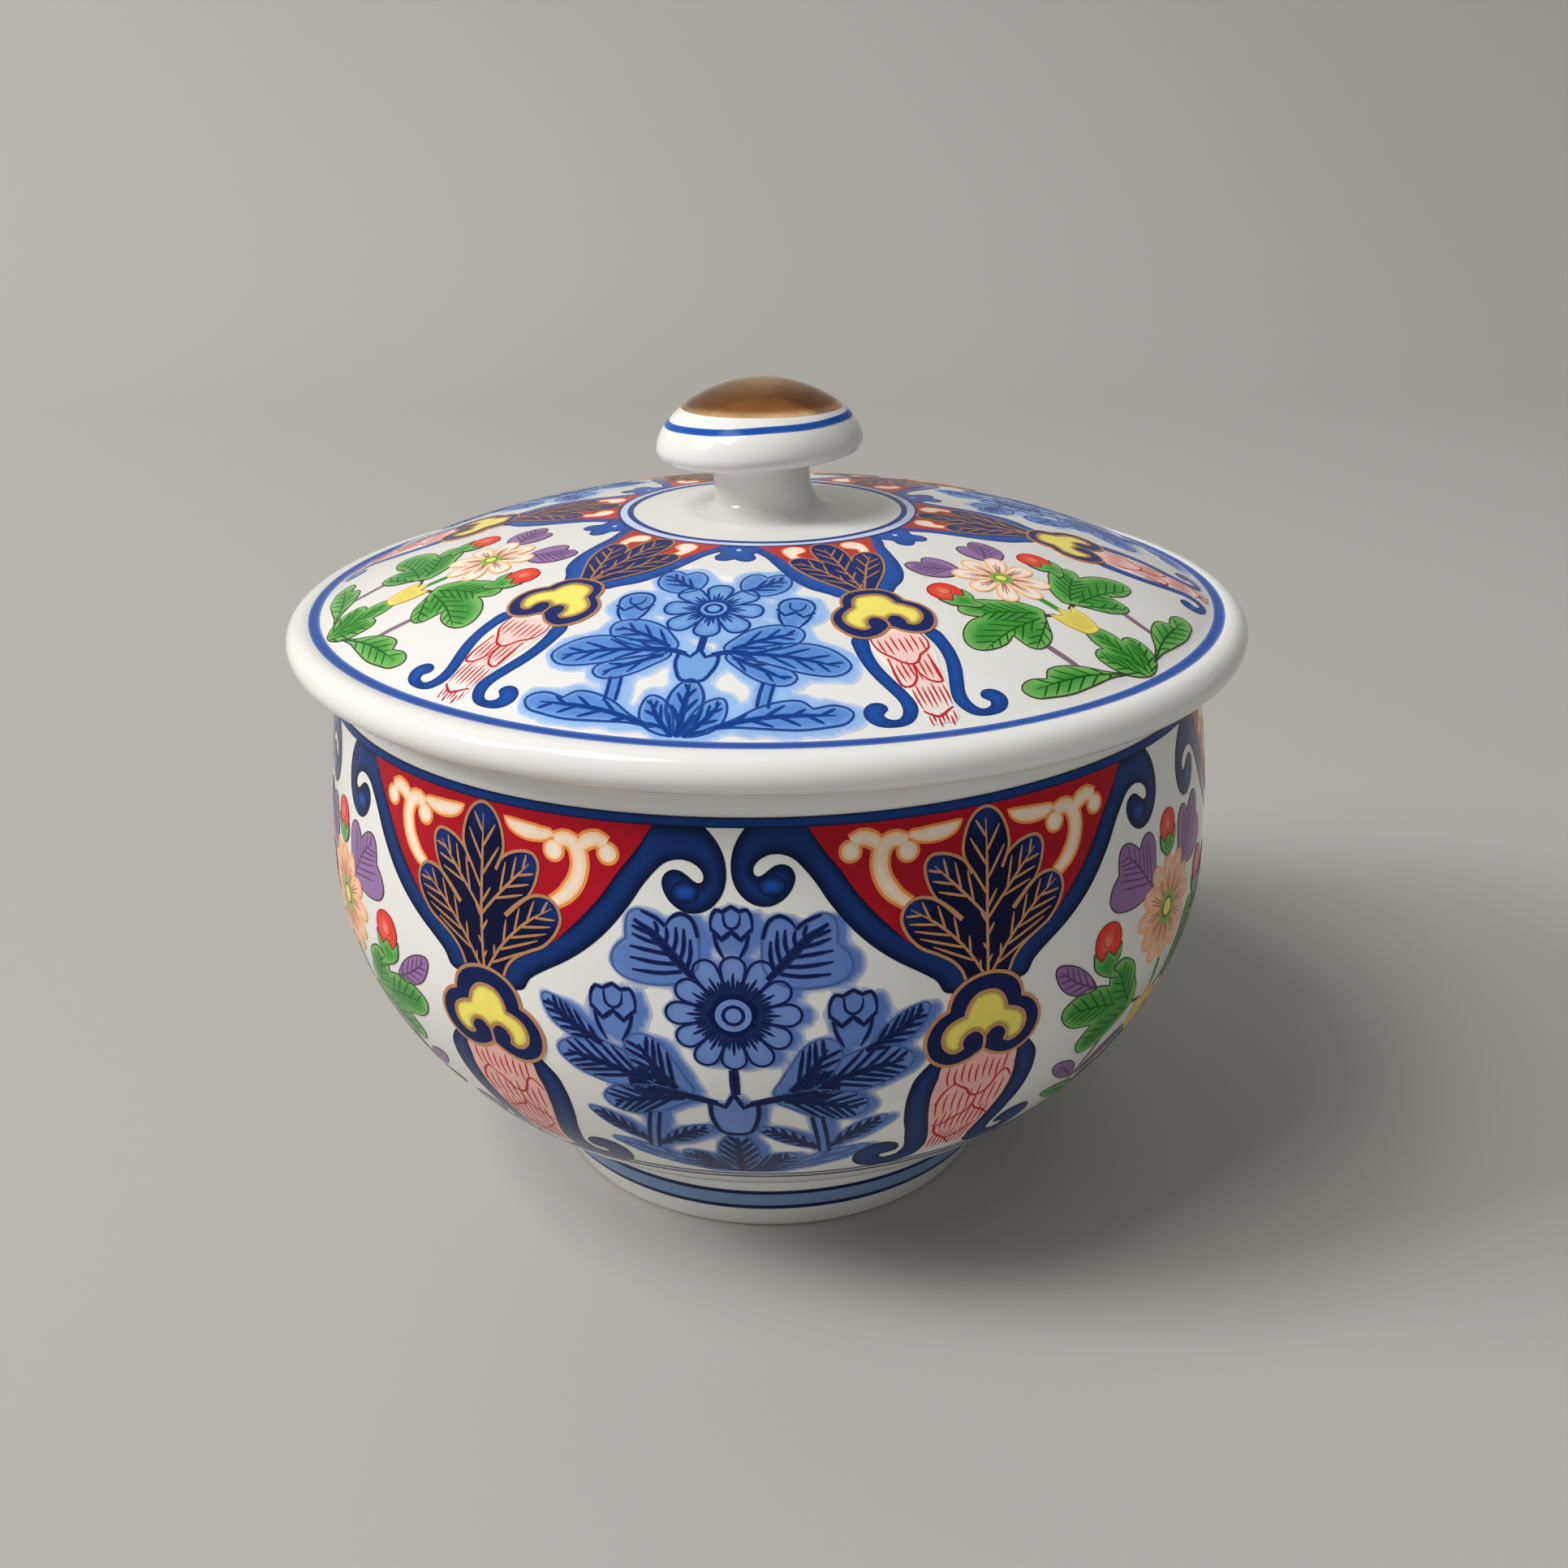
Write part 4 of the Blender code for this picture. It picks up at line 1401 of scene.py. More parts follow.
# %% Plan of the bowl's sprays
BOWL_SPRAY = {
    "flower": ((0.2, 21.2), 6.1, 12, 2.45),
    "bud": ((0.1, 12.3), 1.75, (0, 15.2)),
    "side_bud": ((11, 21), 2.05, (9.3, 25.2)),
    "top": [
        (
            [
                (3, 16.6), (2.8, 14.6), (2.9, 12.9), (3.5, 11.8), (4.4, 11.4), (5.3, 11.8),
                (5.9, 12.7, 1), (6.7, 12), (8, 11.3), (9.2, 11.6), (9.6, 12.9), (9.6, 14.2, 1),
                (10.6, 15.2), (11, 16.6), (10.2, 17.8), (8.4, 18.4), (6.2, 18.5), (4.4, 18),
            ],
            [(3.3, 17.6), (4.6, 16.2), (5.9, 14.7), (7.2, 13.4), (8.8, 12.3)],
            5,
        ),
    ],
    "top_lines": [
        [(4.4, 17), (6.4, 17.3), (9, 17.2)],
        [(4.9, 16.3), (6.8, 16.3), (9.2, 16)],
        [(5.5, 15.4), (7.2, 15.2), (9.2, 14.9)],
        [(6.2, 14.5), (7.6, 14.2), (9, 13.7)],
        [(7.1, 13.6), (8, 13.3), (9, 12.9)],
        [(4, 16.9), (3.6, 15.4), (3.6, 13.8)],
        [(4.6, 16.2), (4.2, 14.6), (4.2, 12.8)],
        [(5.3, 15.4), (4.9, 14.1), (4.9, 12.7)],
        [(6, 14.6), (5.7, 13.7), (5.8, 12.8)],
        [(6.8, 13.8), (6.6, 13.1), (6.9, 12.3)],
        [(2.9, 13.6), (3.4, 12), (4.4, 11.4), (5.4, 11.9), (5.9, 12.7)],
        [(5.9, 12.7), (6.7, 12), (8.2, 11.4)],
    ],
    "small": [blade((12.3, 25.5), (18.2, 21.3), 1.35, 0.3)],
    "lobes": [
        (
            [
                (4, 30.5), (4.6, 28.2), (5.4, 26.6), (6.6, 24.6), (8.2, 23.8), (9.6, 24.2), (10.1, 25.6),
                (9.6, 27.2), (8.3, 29.2),
            ],
            [(5.4, 30), (7.2, 27.6), (8.7, 25)],
            3,
        ),
        (
            [
                (7.6, 29.6), (9, 26.8), (11.5, 25.4), (13.8, 25), (15.8, 25.7), (17, 26.9), (16.4, 28.3),
                (14.6, 29.5), (11.6, 30.4),
            ],
            [(8.2, 29.2), (12, 27.9), (16, 27.1)],
            4,
        ),
        (
            [
                (4, 30.9), (7, 29.9), (10, 30.2), (11.8, 30.8), (13, 32.4), (12.4, 33.9), (10.6, 34.5),
                (8, 33.9), (5.6, 32.5),
            ],
            [(4.8, 31.2), (8.2, 31.8), (12, 33)],
            4,
        ),
    ],
    "leaf": [
        (3.9, 30.6), (4.6, 28.2), (5.4, 26.8), (5.9, 25.3), (6.8, 24.3), (8.3, 23.6), (9.2, 23.8),
        (10.2, 24.5), (10.2, 26, 1), (11.6, 25.5), (13.8, 25.1), (15.8, 25.7), (16.9, 26.6), (16.5, 28),
        (15, 29.3), (13, 30), (11.6, 30.4, 1), (12.9, 32), (12.9, 33), (11.8, 34.4), (10, 34.8),
        (7.8, 34.2), (5.6, 32.6), (4, 31),
    ],
    "knot": ((8.0, 29.5), 2.1),
    "twig": [(7.8, 30.2), (4.4, 30.9), (1.6, 31.7)],
    "stalk": [(0.1, 27.2), (0.2, 30.4)],
    "cup": [(0, 30.3, 1), (0.9, 32.3, 1), (2.3, 31.3, 1), (2.3, 33.4), (2, 35), (1.4, 36.4), (0, 36.8)],
    "stems": [(8, 33.9), (8.7, 37.5), (9.2, 40.8)],
    "stem_leaves": [blade((9.6, 39.7), (15.2, 34.8), 1.15, -0.3), blade((8.4, 40), (2.2, 35.5), 1.1, 0.3)],
    "base": [blade((0.1, 46.4), (0.1, 36.6), 2.1), blade((0.6, 46.2), (5.9, 41.0), 2.2, 0.5)],
    "base_leaf": [
        (0, 36.4), (1.4, 37.6), (2.1, 39.4), (2, 41.4, 1), (3.6, 40.6), (5.3, 40.6), (6.2, 42), (5.2, 44),
        (2.8, 45.8), (0, 46.6),
    ],
    "ground": [blade((4.0, 45.9), (14.0, 40.3), 1.35, -0.4)],
}
print("plan of the bowl's sprays:", len(BOWL_SPRAY), "entries")

# %% Plan of the lid's sprays
LID_SPRAY = {
    "flower": ((0, 31.6), 4.9, 8, 1.55),
    "bud": None,
    "side_bud": ((7.7, 30.6), 1.75, (7, 34.2)),
    "top": [
        (
            [
                (2.2, 27.9), (1.7, 26.6), (1.8, 25.3), (2.5, 24.2), (3.3, 24.1), (4, 24.7, 1), (4.8, 24),
                (5.9, 24), (6.5, 25.3), (6.3, 27), (5.3, 28.2), (3.8, 28.7),
            ],
            [(2.6, 27.8), (4, 26.6), (5.6, 24.9)],
            4,
        ),
    ],
    "small": [],
    "lobes": [
        (
            [
                (2.3, 38.3), (3.2, 35.9), (4.6, 34.5), (6.6, 33.7), (8.6, 34), (9.1, 35.2), (8.4, 36.6),
                (5.6, 38),
            ],
            [(2.9, 38), (5.4, 36.3), (8.1, 34.9)],
            4,
        ),
        (
            [
                (2.8, 38.5), (5.6, 37.3), (8.6, 36.3), (11.2, 36.4), (13.2, 37.6), (13.8, 38.8),
                (12.6, 40.2), (9.6, 40.4), (5.8, 39.5),
            ],
            [(3.4, 38.6), (8, 38.4), (12.8, 38.9)],
            5,
        ),
        (
            [(2.6, 38.8), (5.2, 39.5), (8.4, 40.2), (9.3, 41.2), (8.4, 42.3), (6.4, 42.2), (4.2, 40.9)],
            [(3.2, 39.2), (5.6, 40.3), (8.3, 41.5)],
            3,
        ),
    ],
    "leaf": [
        (1.8, 37.8), (3, 35.4), (4.6, 34.3), (6, 33.3), (7.4, 32.8), (9.2, 33), (9.8, 33.8), (9.3, 34.8),
        (8.7, 35.3, 1), (9.8, 35.2), (11, 35.4), (12.4, 36), (13.6, 37.2), (13.6, 38.4), (12.4, 39.2),
        (10.4, 39.5), (8.6, 39, 1), (8.7, 40), (8.7, 41), (8, 41.7), (6.6, 41.7), (5, 41), (3.6, 39.6),
        (2.4, 38.4),
    ],
    "twig": [(4.4, 38.3), (2.6, 38.5), (1.2, 39)],
    "stalk": [(0, 36.2), (0, 38.6)],
    "cup": [(0, 38.3, 1), (0.7, 39.4, 1), (1.8, 38.7, 1), (1.9, 40.2), (1.5, 41.6), (1, 42.5), (0, 42.7)],
    "stems": [(6.9, 42.2), (6.8, 43.8), (6.8, 45.2)],
    "stem_leaves": [],
    "base": [blade((0.1, 48.9), (0.0, 42.4), 1.55), blade((0.5, 48.9), (3.3, 44.6), 1.35, 0.35)],
    "base_leaf": [
        (0, 41.8), (1.1, 42.4), (1.7, 43.8), (1.6, 44.7, 1), (2.5, 44.5), (3.5, 45.1), (3.6, 46.5),
        (3, 47.7), (1.8, 48.6), (0, 49.1),
    ],
    "ground": [
        (
            [
                (2.2, 48.1, 1), (4.6, 46.8), (6.4, 45.3), (8.2, 44.3), (10, 43.9), (11.2, 44.6, 1),
                (13, 43.8), (14.6, 44.2), (14.3, 45.4), (12.8, 46.2), (10.4, 47), (7.2, 47.4),
                (4.6, 47.6),
            ],
            [(3, 47.8), (7.4, 46.2), (13.2, 44.9)],
            5,
        ),
    ],
}
print("plan of the lid's sprays:", len(LID_SPRAY), "entries")

# %% Shapes that both painters use
BUD_TIP = [
    (-1.05, 0.35), (-1.05, -0.3), (-0.8, -0.8), (-0.45, -0.72), (0, -1), (0.4, -0.75), (0.8, -0.85),
    (1.05, -0.3), (1.05, 0.35), (0.5, 0.9), (-0.5, 0.9),
]
BUD_TEETH = [(-1.05, 0.2, 1), (-0.5, 0.8, 1), (0, 0.35, 1), (0.5, 0.8, 1), (1.05, 0.2, 1)]
BUD_EGG = [
    (-0.85, 0.35), (-0.98, -0.2), (-0.75, -0.82), (-0.1, -1.12), (0.65, -0.92), (0.98, -0.25),
    (0.85, 0.35), (0.5, 0.9), (-0.5, 0.9),
]
BUD_PETAL = [(-0.42, -0.6), (-0.32, 0), (0.05, 0.2), (0.38, -0.05), (0.45, -0.6)]
BUD_FOOT = 0.45


def all_leaves(plan, side):
    """Every leaf of a plan with its group, set on one side."""
    for group in ("top", "small", "lobes", "stem_leaves", "base", "ground"):
        for outline, rib, pairs in plan[group]:
            yield group, to_side(side, outline), to_side(side, rib), pairs


def all_petals(plan, inner, share):
    """The angle and outline of each petal. They are longer and shorter by turns."""
    centre, reach, count, heart = plan["flower"]
    half = math.pi * reach * share / count
    for k in range(count):
        angle = 360 * k / count
        yield angle, petal(centre, angle, inner, reach * PETAL_LENGTHS[k % 2], half)


def at_bud(bud, points):
    (x, y), reach, foot = bud
    return [(x + reach * a, y + reach * b, *rest) for a, b, *rest in points]


def bud_shapes(bud, tip=BUD_EGG):
    """Outlines of a bud and of the toothed calyx that holds it."""
    x, y = bud[2]
    calyx = at_bud(bud, BUD_TEETH + [(0.95, 1.0), (0.5, 1.5)])
    calyx += [(x + BUD_FOOT, y), (x - BUD_FOOT, y)] + at_bud(bud, [(-0.5, 1.5), (-0.95, 1.0)])
    return at_bud(bud, tip), calyx


def sided_bud(plan, side):
    (x, y), reach, (foot_x, foot_y) = plan["side_bud"]
    return (side * x, y), reach, (side * foot_x, foot_y)


print("buds ready")

# %% [markdown]
# In the blue sprays a thin wash lies lowest, with soft dark strokes over it. On the bowl the work is
# smoky and the edges of the leaves are only faint. On the lid they are clear. Each way is written as
# a look: its paints for leaf, petal, wash and line, how bold its lines are, how far the faint ones
# fade, and how veins, petals and wash run. A ray in a petal is its lean in degrees, its start and end
# in hearts of the flower, and its width.

# %% Two looks in blue
SMOKY_LOOK = {
    "smoky": True,
    "paints": (SMOKY_LEAF, SMOKY_PETAL, SMOKY_WASH, SMOKY_LINE),
    "bold": 1.0,
    "faint": 0.55,
    "bud": BUD_TIP,
    "rib": 0.5,
    "more_veins": 1,
    "veins": {"lean": 32, "span": 0.95, "heavy": 1.5},
    "petal": 0.7,
    "rays": [(-7, 0.9, 1.5, 0.3), (0, 0.9, 1.75, 0.34), (7, 0.9, 1.5, 0.3), (15, 0.9, 1.5, 0.8)],
    "pupil": 0.38,
    "wash": {"spread": 0.35, "drift": (1.0, 0.1), "fade": 0.5},
}
CLEAR_LOOK = {
    "smoky": False,
    "paints": (COBALT_LEAF, COBALT_PETAL, COBALT_WASH, COBALT_LINE),
    "bold": 0.75,
    "faint": 0.12,
    "bud": BUD_EGG,
    "rib": 0.36,
    "more_veins": -1,
    "veins": {"lean": 30, "span": 0.72, "heavy": 1.3},
    "petal": 0.62,
    "rays": [(-9, 1.05, 1.7, 0.36), (0, 1.05, 2.0, 0.36), (9, 1.05, 1.7, 0.36)],
    "pupil": 0.5,
    "wash": {"spread": 0.85, "drift": (0.4, 0.1), "fade": 0.3},
}
print("looks in blue:", len(SMOKY_LOOK), "entries each")

# %% The blue painter
SOFT_SHARE = 0.1
STEM_HALF = 0.7
STEM_LINES = (-0.5, 0.5)


class BluePainter:
    """Paints a plan in one look, and keeps the shapes that the wash has to follow."""

    def __init__(self, sheet, plan, look):
        self.sheet = sheet
        self.plan = plan
        self.look = look
        self.shapes = []
        self.leaf, self.petal, self.wash, self.line = look["paints"]
        self.soft = self.line + (self.leaf - self.line) * SOFT_SHARE
        self.faint = self.line + (self.leaf - self.line) * look["faint"]

    def mark(self, path, width, ends=(0.7, 0.4)):
        self.sheet.stroke("cobalt", 2, path, width * self.look["bold"], self.soft, ends, core=self.line)

    def fill(self, coat, outline, colour, **options):
        self.sheet.fill("cobalt", coat, outline, colour, **options)

    def edge(self, coat, outline, width):
        self.sheet.edge("cobalt", coat, outline, width, self.soft, self.line)

    def veins(self, outline, rib, colour, pairs, core=None):
        width = self.look["rib"]
        style = self.look["veins"]
        self.sheet.veins("cobalt", 2, [outline], rib, width, colour, pairs, **style, core=core)

    def paint_leaf(self, side, group, outline, rib, pairs):
        self.shapes.append(outline)
        self.sheet.edge("cobalt", 1, outline, 0.24, self.faint)
        smoky = self.look["smoky"]
        if smoky and group == "top":
            self.mark(rib, 0.9)
            for path in self.plan["top_lines"]:
                self.mark(to_side(side, path), 0.42, (0.9, 0.5))
        elif smoky and group == "ground":
            self.veins(outline, rib, self.faint, 3)
        else:
            self.veins(outline, rib, self.soft, pairs + self.look["more_veins"], self.line)

    def paint_bud(self, bud):
        tip = self.look["bud"]
        self.shapes.extend(bud_shapes(bud, tip))
        self.mark(at_bud(bud, tip[:-2]), 0.42, (0.5, 0.5))
        self.mark(at_bud(bud, BUD_TEETH), 0.5, (0.7, 0.7))
        self.mark(at_bud(bud, BUD_PETAL), 0.3)
        for edge in (-0.9, 0.9):
            self.mark(at_bud(bud, [(edge, 0.5), (edge * 0.8, 1.2), (edge * 0.4, 1.9)]), 0.4)

    def paint_side(self, side):
        for leaf in all_leaves(self.plan, side):
            self.paint_leaf(side, *leaf)
        self.paint_bud(sided_bud(self.plan, side))
        self.mark(to_side(side, self.plan["twig"]), 0.9, (0.8, 0.9))
        stems = to_side(side, self.plan["stems"])
        for shift in STEM_LINES:
            self.mark([(x + shift, y) for x, y in stems], 0.45, (0.9, 0.9))
        stem = [(x - side * STEM_HALF, y) for x, y in stems]
        self.shapes.append(stem + [(x + side * STEM_HALF, y) for x, y in reversed(stems)])
        if self.look["smoky"]:
            (x, y), reach = self.plan["knot"]
            self.fill(1, ring((side * x, y), reach), self.line, rim=self.soft, soft=0.7, grain=0.5)

    def paint_flower(self):
        centre, reach, count, heart = self.plan["flower"]
        for angle, outline in all_petals(self.plan, heart * 0.9, self.look["petal"]):
            self.shapes.append(outline)
            self.fill(0, outline, self.petal, rim=self.leaf, soft=0.5, grain=0.7)
            self.edge(2, outline, 0.26)
            for lean, start, stop, width in self.look["rays"]:
                reaches = [heart * r for r in (start, (start + stop) / 2, stop)]
                self.mark(ray(centre, angle + lean, reaches), width, (1.0, 0.3))
        if self.look["smoky"]:
            self.fill(3, ring(centre, heart * 1.04), self.line, rim=self.soft, soft=0.3, grain=0.6)
            self.fill(4, ring(centre, heart * 0.68), self.petal, grain=0.6)
        else:
            self.fill(3, ring(centre, heart), self.petal, grain=0.6)
            self.edge(4, ring(centre, heart * 0.95), 0.45)
        self.edge(5, ring(centre, heart * self.look["pupil"]), 0.36)

    def paint(self):
        """Everything, and last the wash, which follows all the shapes but lies on the lowest coat."""
        for side in (-1, 1):
            self.paint_side(side)
        if self.plan["bud"]:
            self.paint_bud(self.plan["bud"])
        self.mark(self.plan["stalk"], 1.0, (0.9, 0.9))
        cup = twin(self.plan["cup"])
        self.shapes.append(cup)
        self.fill(0, cup, self.petal, grain=0.8)
        self.edge(2, cup, 0.5 * self.look["bold"])
        self.paint_flower()
        self.sheet.wash("cobalt", -1, self.shapes, self.wash, self.leaf, **self.look["wash"])


print("blue painter ready")

# %% Blue sprays on bowl and lid
bowl_blue = Drawing("bowl_blue_spray")
BluePainter(bowl_blue, BOWL_SPRAY, SMOKY_LOOK).paint()
paint_on(bowl_blue, WALL, even(-4.2, 114.8, 236.3), "bowl", "bowl_glaze")
lid_blue = Drawing("lid_blue_spray")
BluePainter(lid_blue, LID_SPRAY, CLEAR_LOOK).paint()
paint_on(lid_blue, DOME, even(-9.3, 109.6, 231.5), "lid", "lid_glaze")

# %% [markdown]
# The enamel painter sets flat colours with fine dark outlines: green and purple leaves, red buds,
# yellow cups and peach-coloured flowers.

# %% The enamel painter
GREENS = (GREEN, PALE_GREEN, DARK_GREEN)
PURPLES = (PURPLE, PURPLE, DARK_PURPLE)


def enamel_leaf(sheet, outline, ribs, paints):
    """A leaf. Each rib comes with the part of the leaf that its veins fill."""
    colour, rim, vein = paints
    sheet.fill("enamel", 2, outline, colour, rim, soft=1.3, grain=0.7)
    sheet.edge("enamel", 3, outline, 0.14, INK)
    for part, rib, pairs in ribs:
        sheet.veins("enamel", 3, [part, outline], rib, 0.2, vein, pairs + 1, span=0.88)


def red_bud(sheet, bud):
    flower, calyx = bud_shapes(bud)
    (x, y), reach, foot = bud
    sheet.fill("enamel", 4, flower, BUD_RED, grain=0.5, pool=((x - 0.2, y - 0.3), reach * 0.7, BUD_PALE))
    sheet.edge("enamel", 5, flower, 0.13, BUD_EDGE)
    sheet.stroke("enamel", 5, at_bud(bud, BUD_PETAL), 0.14, BUD_LINE)
    sheet.fill("enamel", 6, calyx, GREEN, rim=PALE_GREEN, soft=0.6, grain=0.5)
    sheet.edge("enamel", 7, calyx, 0.13, INK)


def enamel_flower(sheet, plan, paper, deep, share, heart_line):
    centre, reach, count, heart = plan["flower"]
    heart = heart * 0.8
    for angle, outline in all_petals(plan, heart * 0.6, share):
        sheet.fill("enamel", 4, outline, paper, rim=deep, soft=0.9, grain=0.5)
        sheet.edge("enamel", 5, outline, 0.2, PEACH_LINE)
        for lean in (-6, 0, 6):
            vein = ray(centre, angle + lean, (heart, heart * 1.3, reach * (0.76 - 0.018 * abs(lean))))
            sheet.stroke("enamel", 5, vein, 0.15, PEACH_VEIN, (1.0, 0.3))
    sheet.fill("enamel", 6, ring(centre, heart), HEART_GREEN, rim=PALE_GREEN, soft=0.5, grain=0.4)
    sheet.edge("enamel", 7, ring(centre, heart * 0.55), 0.2, heart_line)
    sheet.fill("enamel", 7, ring(centre, heart * 0.45), YELLOW)


def enamel_spray(sheet, plan):
    for side in (-1, 1):
        (x, y), *below = plan["stems"]
        stem = to_side(side, [(x, y - 1.2), (x, y)] + below)
        sheet.stroke("enamel", 0, stem, 0.75, STEM_GREY, (0.9, 0.9))
        sheet.stroke("enamel", 0, to_side(side, plan["twig"]), 0.5, INK, (0.5, 0.9))
        lobes = []
        for group, *leaf in all_leaves(plan, side):
            if group in ("top", "small", "stem_leaves"):
                enamel_leaf(sheet, leaf[0], [leaf], PURPLES)
            elif group == "ground":
                enamel_leaf(sheet, leaf[0], [leaf], GREENS)
            elif group == "lobes":
                lobes.append(leaf)
        enamel_leaf(sheet, to_side(side, plan["leaf"]), lobes, GREENS)
        red_bud(sheet, sided_bud(plan, side))
    if plan["bud"]:
        red_bud(sheet, plan["bud"])
    upright, leaning = ((outline, rib, 3) for outline, rib, pairs in plan["base"])
    mirrored = (to_side(-1, leaning[0]), to_side(-1, leaning[1]), 3)
    enamel_leaf(sheet, twin(plan["base_leaf"]), [upright, leaning, mirrored], GREENS)
    sheet.stroke("enamel", 1, plan["stalk"], 0.8, GREEN, (0.9, 0.9))
    sheet.fill("enamel", 4, twin(plan["cup"]), CALYX, rim=YELLOW, soft=0.6, grain=0.6)
    sheet.edge("enamel", 5, twin(plan["cup"]), 0.14, OCHRE)


print("enamel painter ready")

# %% Coloured sprays on bowl and lid
bowl_enamel = Drawing("bowl_flower_spray")
enamel_spray(bowl_enamel, BOWL_SPRAY)
# The bowl's flower takes the darker peaches, which are painted shade. The lid's takes the pale ones.
enamel_flower(bowl_enamel, BOWL_SPRAY, SHADED_PETAL_PEACH, SHADED_PETAL_RIM, 0.66, DARK_GREEN)
bowl_enamel_places = [(53.5, 0.0, 1.0), (175.2, 0.3, 1.0), (296.7, 0.6, 1.02)]
paint_on(bowl_enamel, WALL, bowl_enamel_places, "bowl", "bowl_glaze")
lid_enamel = Drawing("lid_flower_spray")
enamel_spray(lid_enamel, LID_SPRAY)
enamel_flower(lid_enamel, LID_SPRAY, PEACH, PEACH_RIM, 0.54, GREEN)
paint_on(lid_enamel, DOME, even(47.5, 170.5, 293.6), "lid", "lid_glaze")

# %% [markdown]
# The lid repeats the lappets in a shorter form. They hang outwards from a double ring round the knob,
# with a small cobalt drop between each two. Here the drawing is a plan, seen from above, with the
# distance from the axis as its height on the sheet.

# %% The lappet of the lid: cobalt, red and pink
LID_FRAME = [
    (0, 16.4), (3.5, 16), (7, 14.85, 1), (6.9, 17), (6.45, 18.8), (6.3, 20.8), (6.1, 23.2), (5.65, 25.5),
    (4.8, 27.4), (3.5, 28.8), (2.6, 29.8), (0, 30),
]
LID_LEG = [
    (3, 36.4), (4.25, 36.8), (4.6, 38.5), (4.6, 40.5), (4.25, 42.5), (3.65, 44.25), (3.2, 45.7),
    (3.3, 46.8), (3.9, 47.45), (4.8, 47.3), (5.1, 46.8), (4.55, 46.4), (4.5, 45.9), (5, 45.45),
    (5.9, 45.4), (6.7, 46), (6.8, 46.9), (6, 47.8), (4.5, 48.2), (3, 48.05), (2.1, 47.3), (1.75, 46.3),
    (2, 44.9), (2.65, 43), (3.15, 41), (3.15, 39), (2.8, 37.3),
]
LID_FIELD = [
    (0, 16.7), (3.2, 16.35), (6.1, 15.4, 1), (5.6, 17.5), (5.1, 19.5), (4.8, 21), (3.5, 22.5), (0, 23),
]
HOOK = [
    (4, 20.3), (4.4, 18.7), (4.2, 17.4), (3.4, 16.85), (2.5, 16.95), (2, 17.6), (2.1, 18.4), (2.7, 18.8),
    (3.3, 19.2), (3.2, 20.3),
]
LID_TAIL = [
    (0, 36.2), (2.4, 36.9), (2.8, 38.4), (2.6, 40.4), (2.2, 42.4), (1.9, 44.4), (1.6, 46.8), (1.3, 48.3),
    (0, 48.5),
]
LID_TAIL_END = ((0, 48.5), 6.0, GLAZE_WHITE)
LID_SCALES = (
    [
        (-2.6, 37.2), (-2.6, 38.3), (-2.3, 39.4), (-1.6, 40.2), (-1, 41), (-0.2, 41.4), (0.6, 41.1),
        (1.1, 40.3), (2.3, 39.4), (2.6, 38.2), (2.4, 37.2),
    ],
    [(-2.1, 40.3), (-2.2, 43.8), (-1.6, 44.2), (-0.8, 43.7), (-0.3, 42.8), (-0.15, 41.5)],
    [(0, 42.6), (0.5, 43.6), (1.2, 44), (1.75, 43.9), (1.8, 40.3)],
    [(-1.5, 47.1), (-0.7, 47.7), (-0.1, 47.8), (0.8, 47.3), (1.4, 47)],
)
LID_ROWS = ((37.5, 39.8, 2), (41, 43.4, 1.7), (44.3, 46.8, 1.5), (47.6, 48.6, 1.2))
lid_lappet = Drawing("lid_lappet")
bracket(lid_lappet, LID_FRAME, LID_LEG, COBALT, DEEP_COBALT, (0.9, 0.6), (0.8, 0.5))
lid_lappet.fill("enamel", 2, twin(LID_FIELD), LID_RED, grain=1.0)
lid_lappet.fill("enamel", 2, twin(LID_TAIL), TAIL_PINK, rim=PEACH, soft=0.6, grain=0.8, pool=LID_TAIL_END)
for side in (-1, 1):
    lid_lappet.fill("enamel", 3, to_side(side, HOOK), IVORY, grain=0.6)
    lid_lappet.edge("enamel", 4, to_side(side, HOOK), 0.2, ORANGE)
lid_sway = (0.25, 2.3, 0.0, 1.0)
tail_lines(lid_lappet, LID_SCALES, LID_ROWS, (0.26, 0.7, 0.7), (0.2, 0.35, 0.25), 7, lid_sway)
print("frame and colours of the lid's lappet:", sum(len(f) for f in lid_lappet.films.values()), "films")

# %% The lappet of the lid: leaf, cloud head and gold
LID_LAPPETS = even(-37.1, 18.4, 79.1, 140.1, 201.0, 262.0)
LID_LEAF = [(0, 21), (1.8, 21.8), (2.4, 24), (1.8, 26.8), (0.9, 29), (0, 29.2)]
LID_MIDDLE = [
    (0, 16.75), (0.9, 17.1), (1.5, 18.3), (1.7, 19.6), (1.7, 21), (1.45, 22.2), (1, 24.5), (0.6, 27),
    (0.3, 28.8), (0, 29.2),
]
LID_SECOND = [
    (0.5, 28.9), (1, 25), (1.45, 22.2, 1), (2, 21.1), (2.9, 20.3), (3.8, 20.15), (4.6, 20.7),
    (4.75, 21.8), (4.45, 23.3), (3.85, 24.9), (2.9, 26.6), (2, 27.9), (1.2, 29.2),
]
LID_MIDDLE_RIB = [(0, 29), (-0.1, 24), (-0.05, 18.2)]
LID_SECOND_RIB = [(0.2, 28.8), (1.5, 25.8), (2.7, 23.2), (3.8, 21.3)]
LID_HEAD = [
    (0, 28.9), (1.3, 29), (2.3, 29.6), (2.9, 30.5), (3.15, 31.5, 1), (3.9, 32), (4.65, 32.85), (5, 34),
    (4.8, 35.25), (4.15, 36.35), (3.15, 37.05), (1.95, 37.05), (0.9, 36.55), (0, 35.7, 1),
]
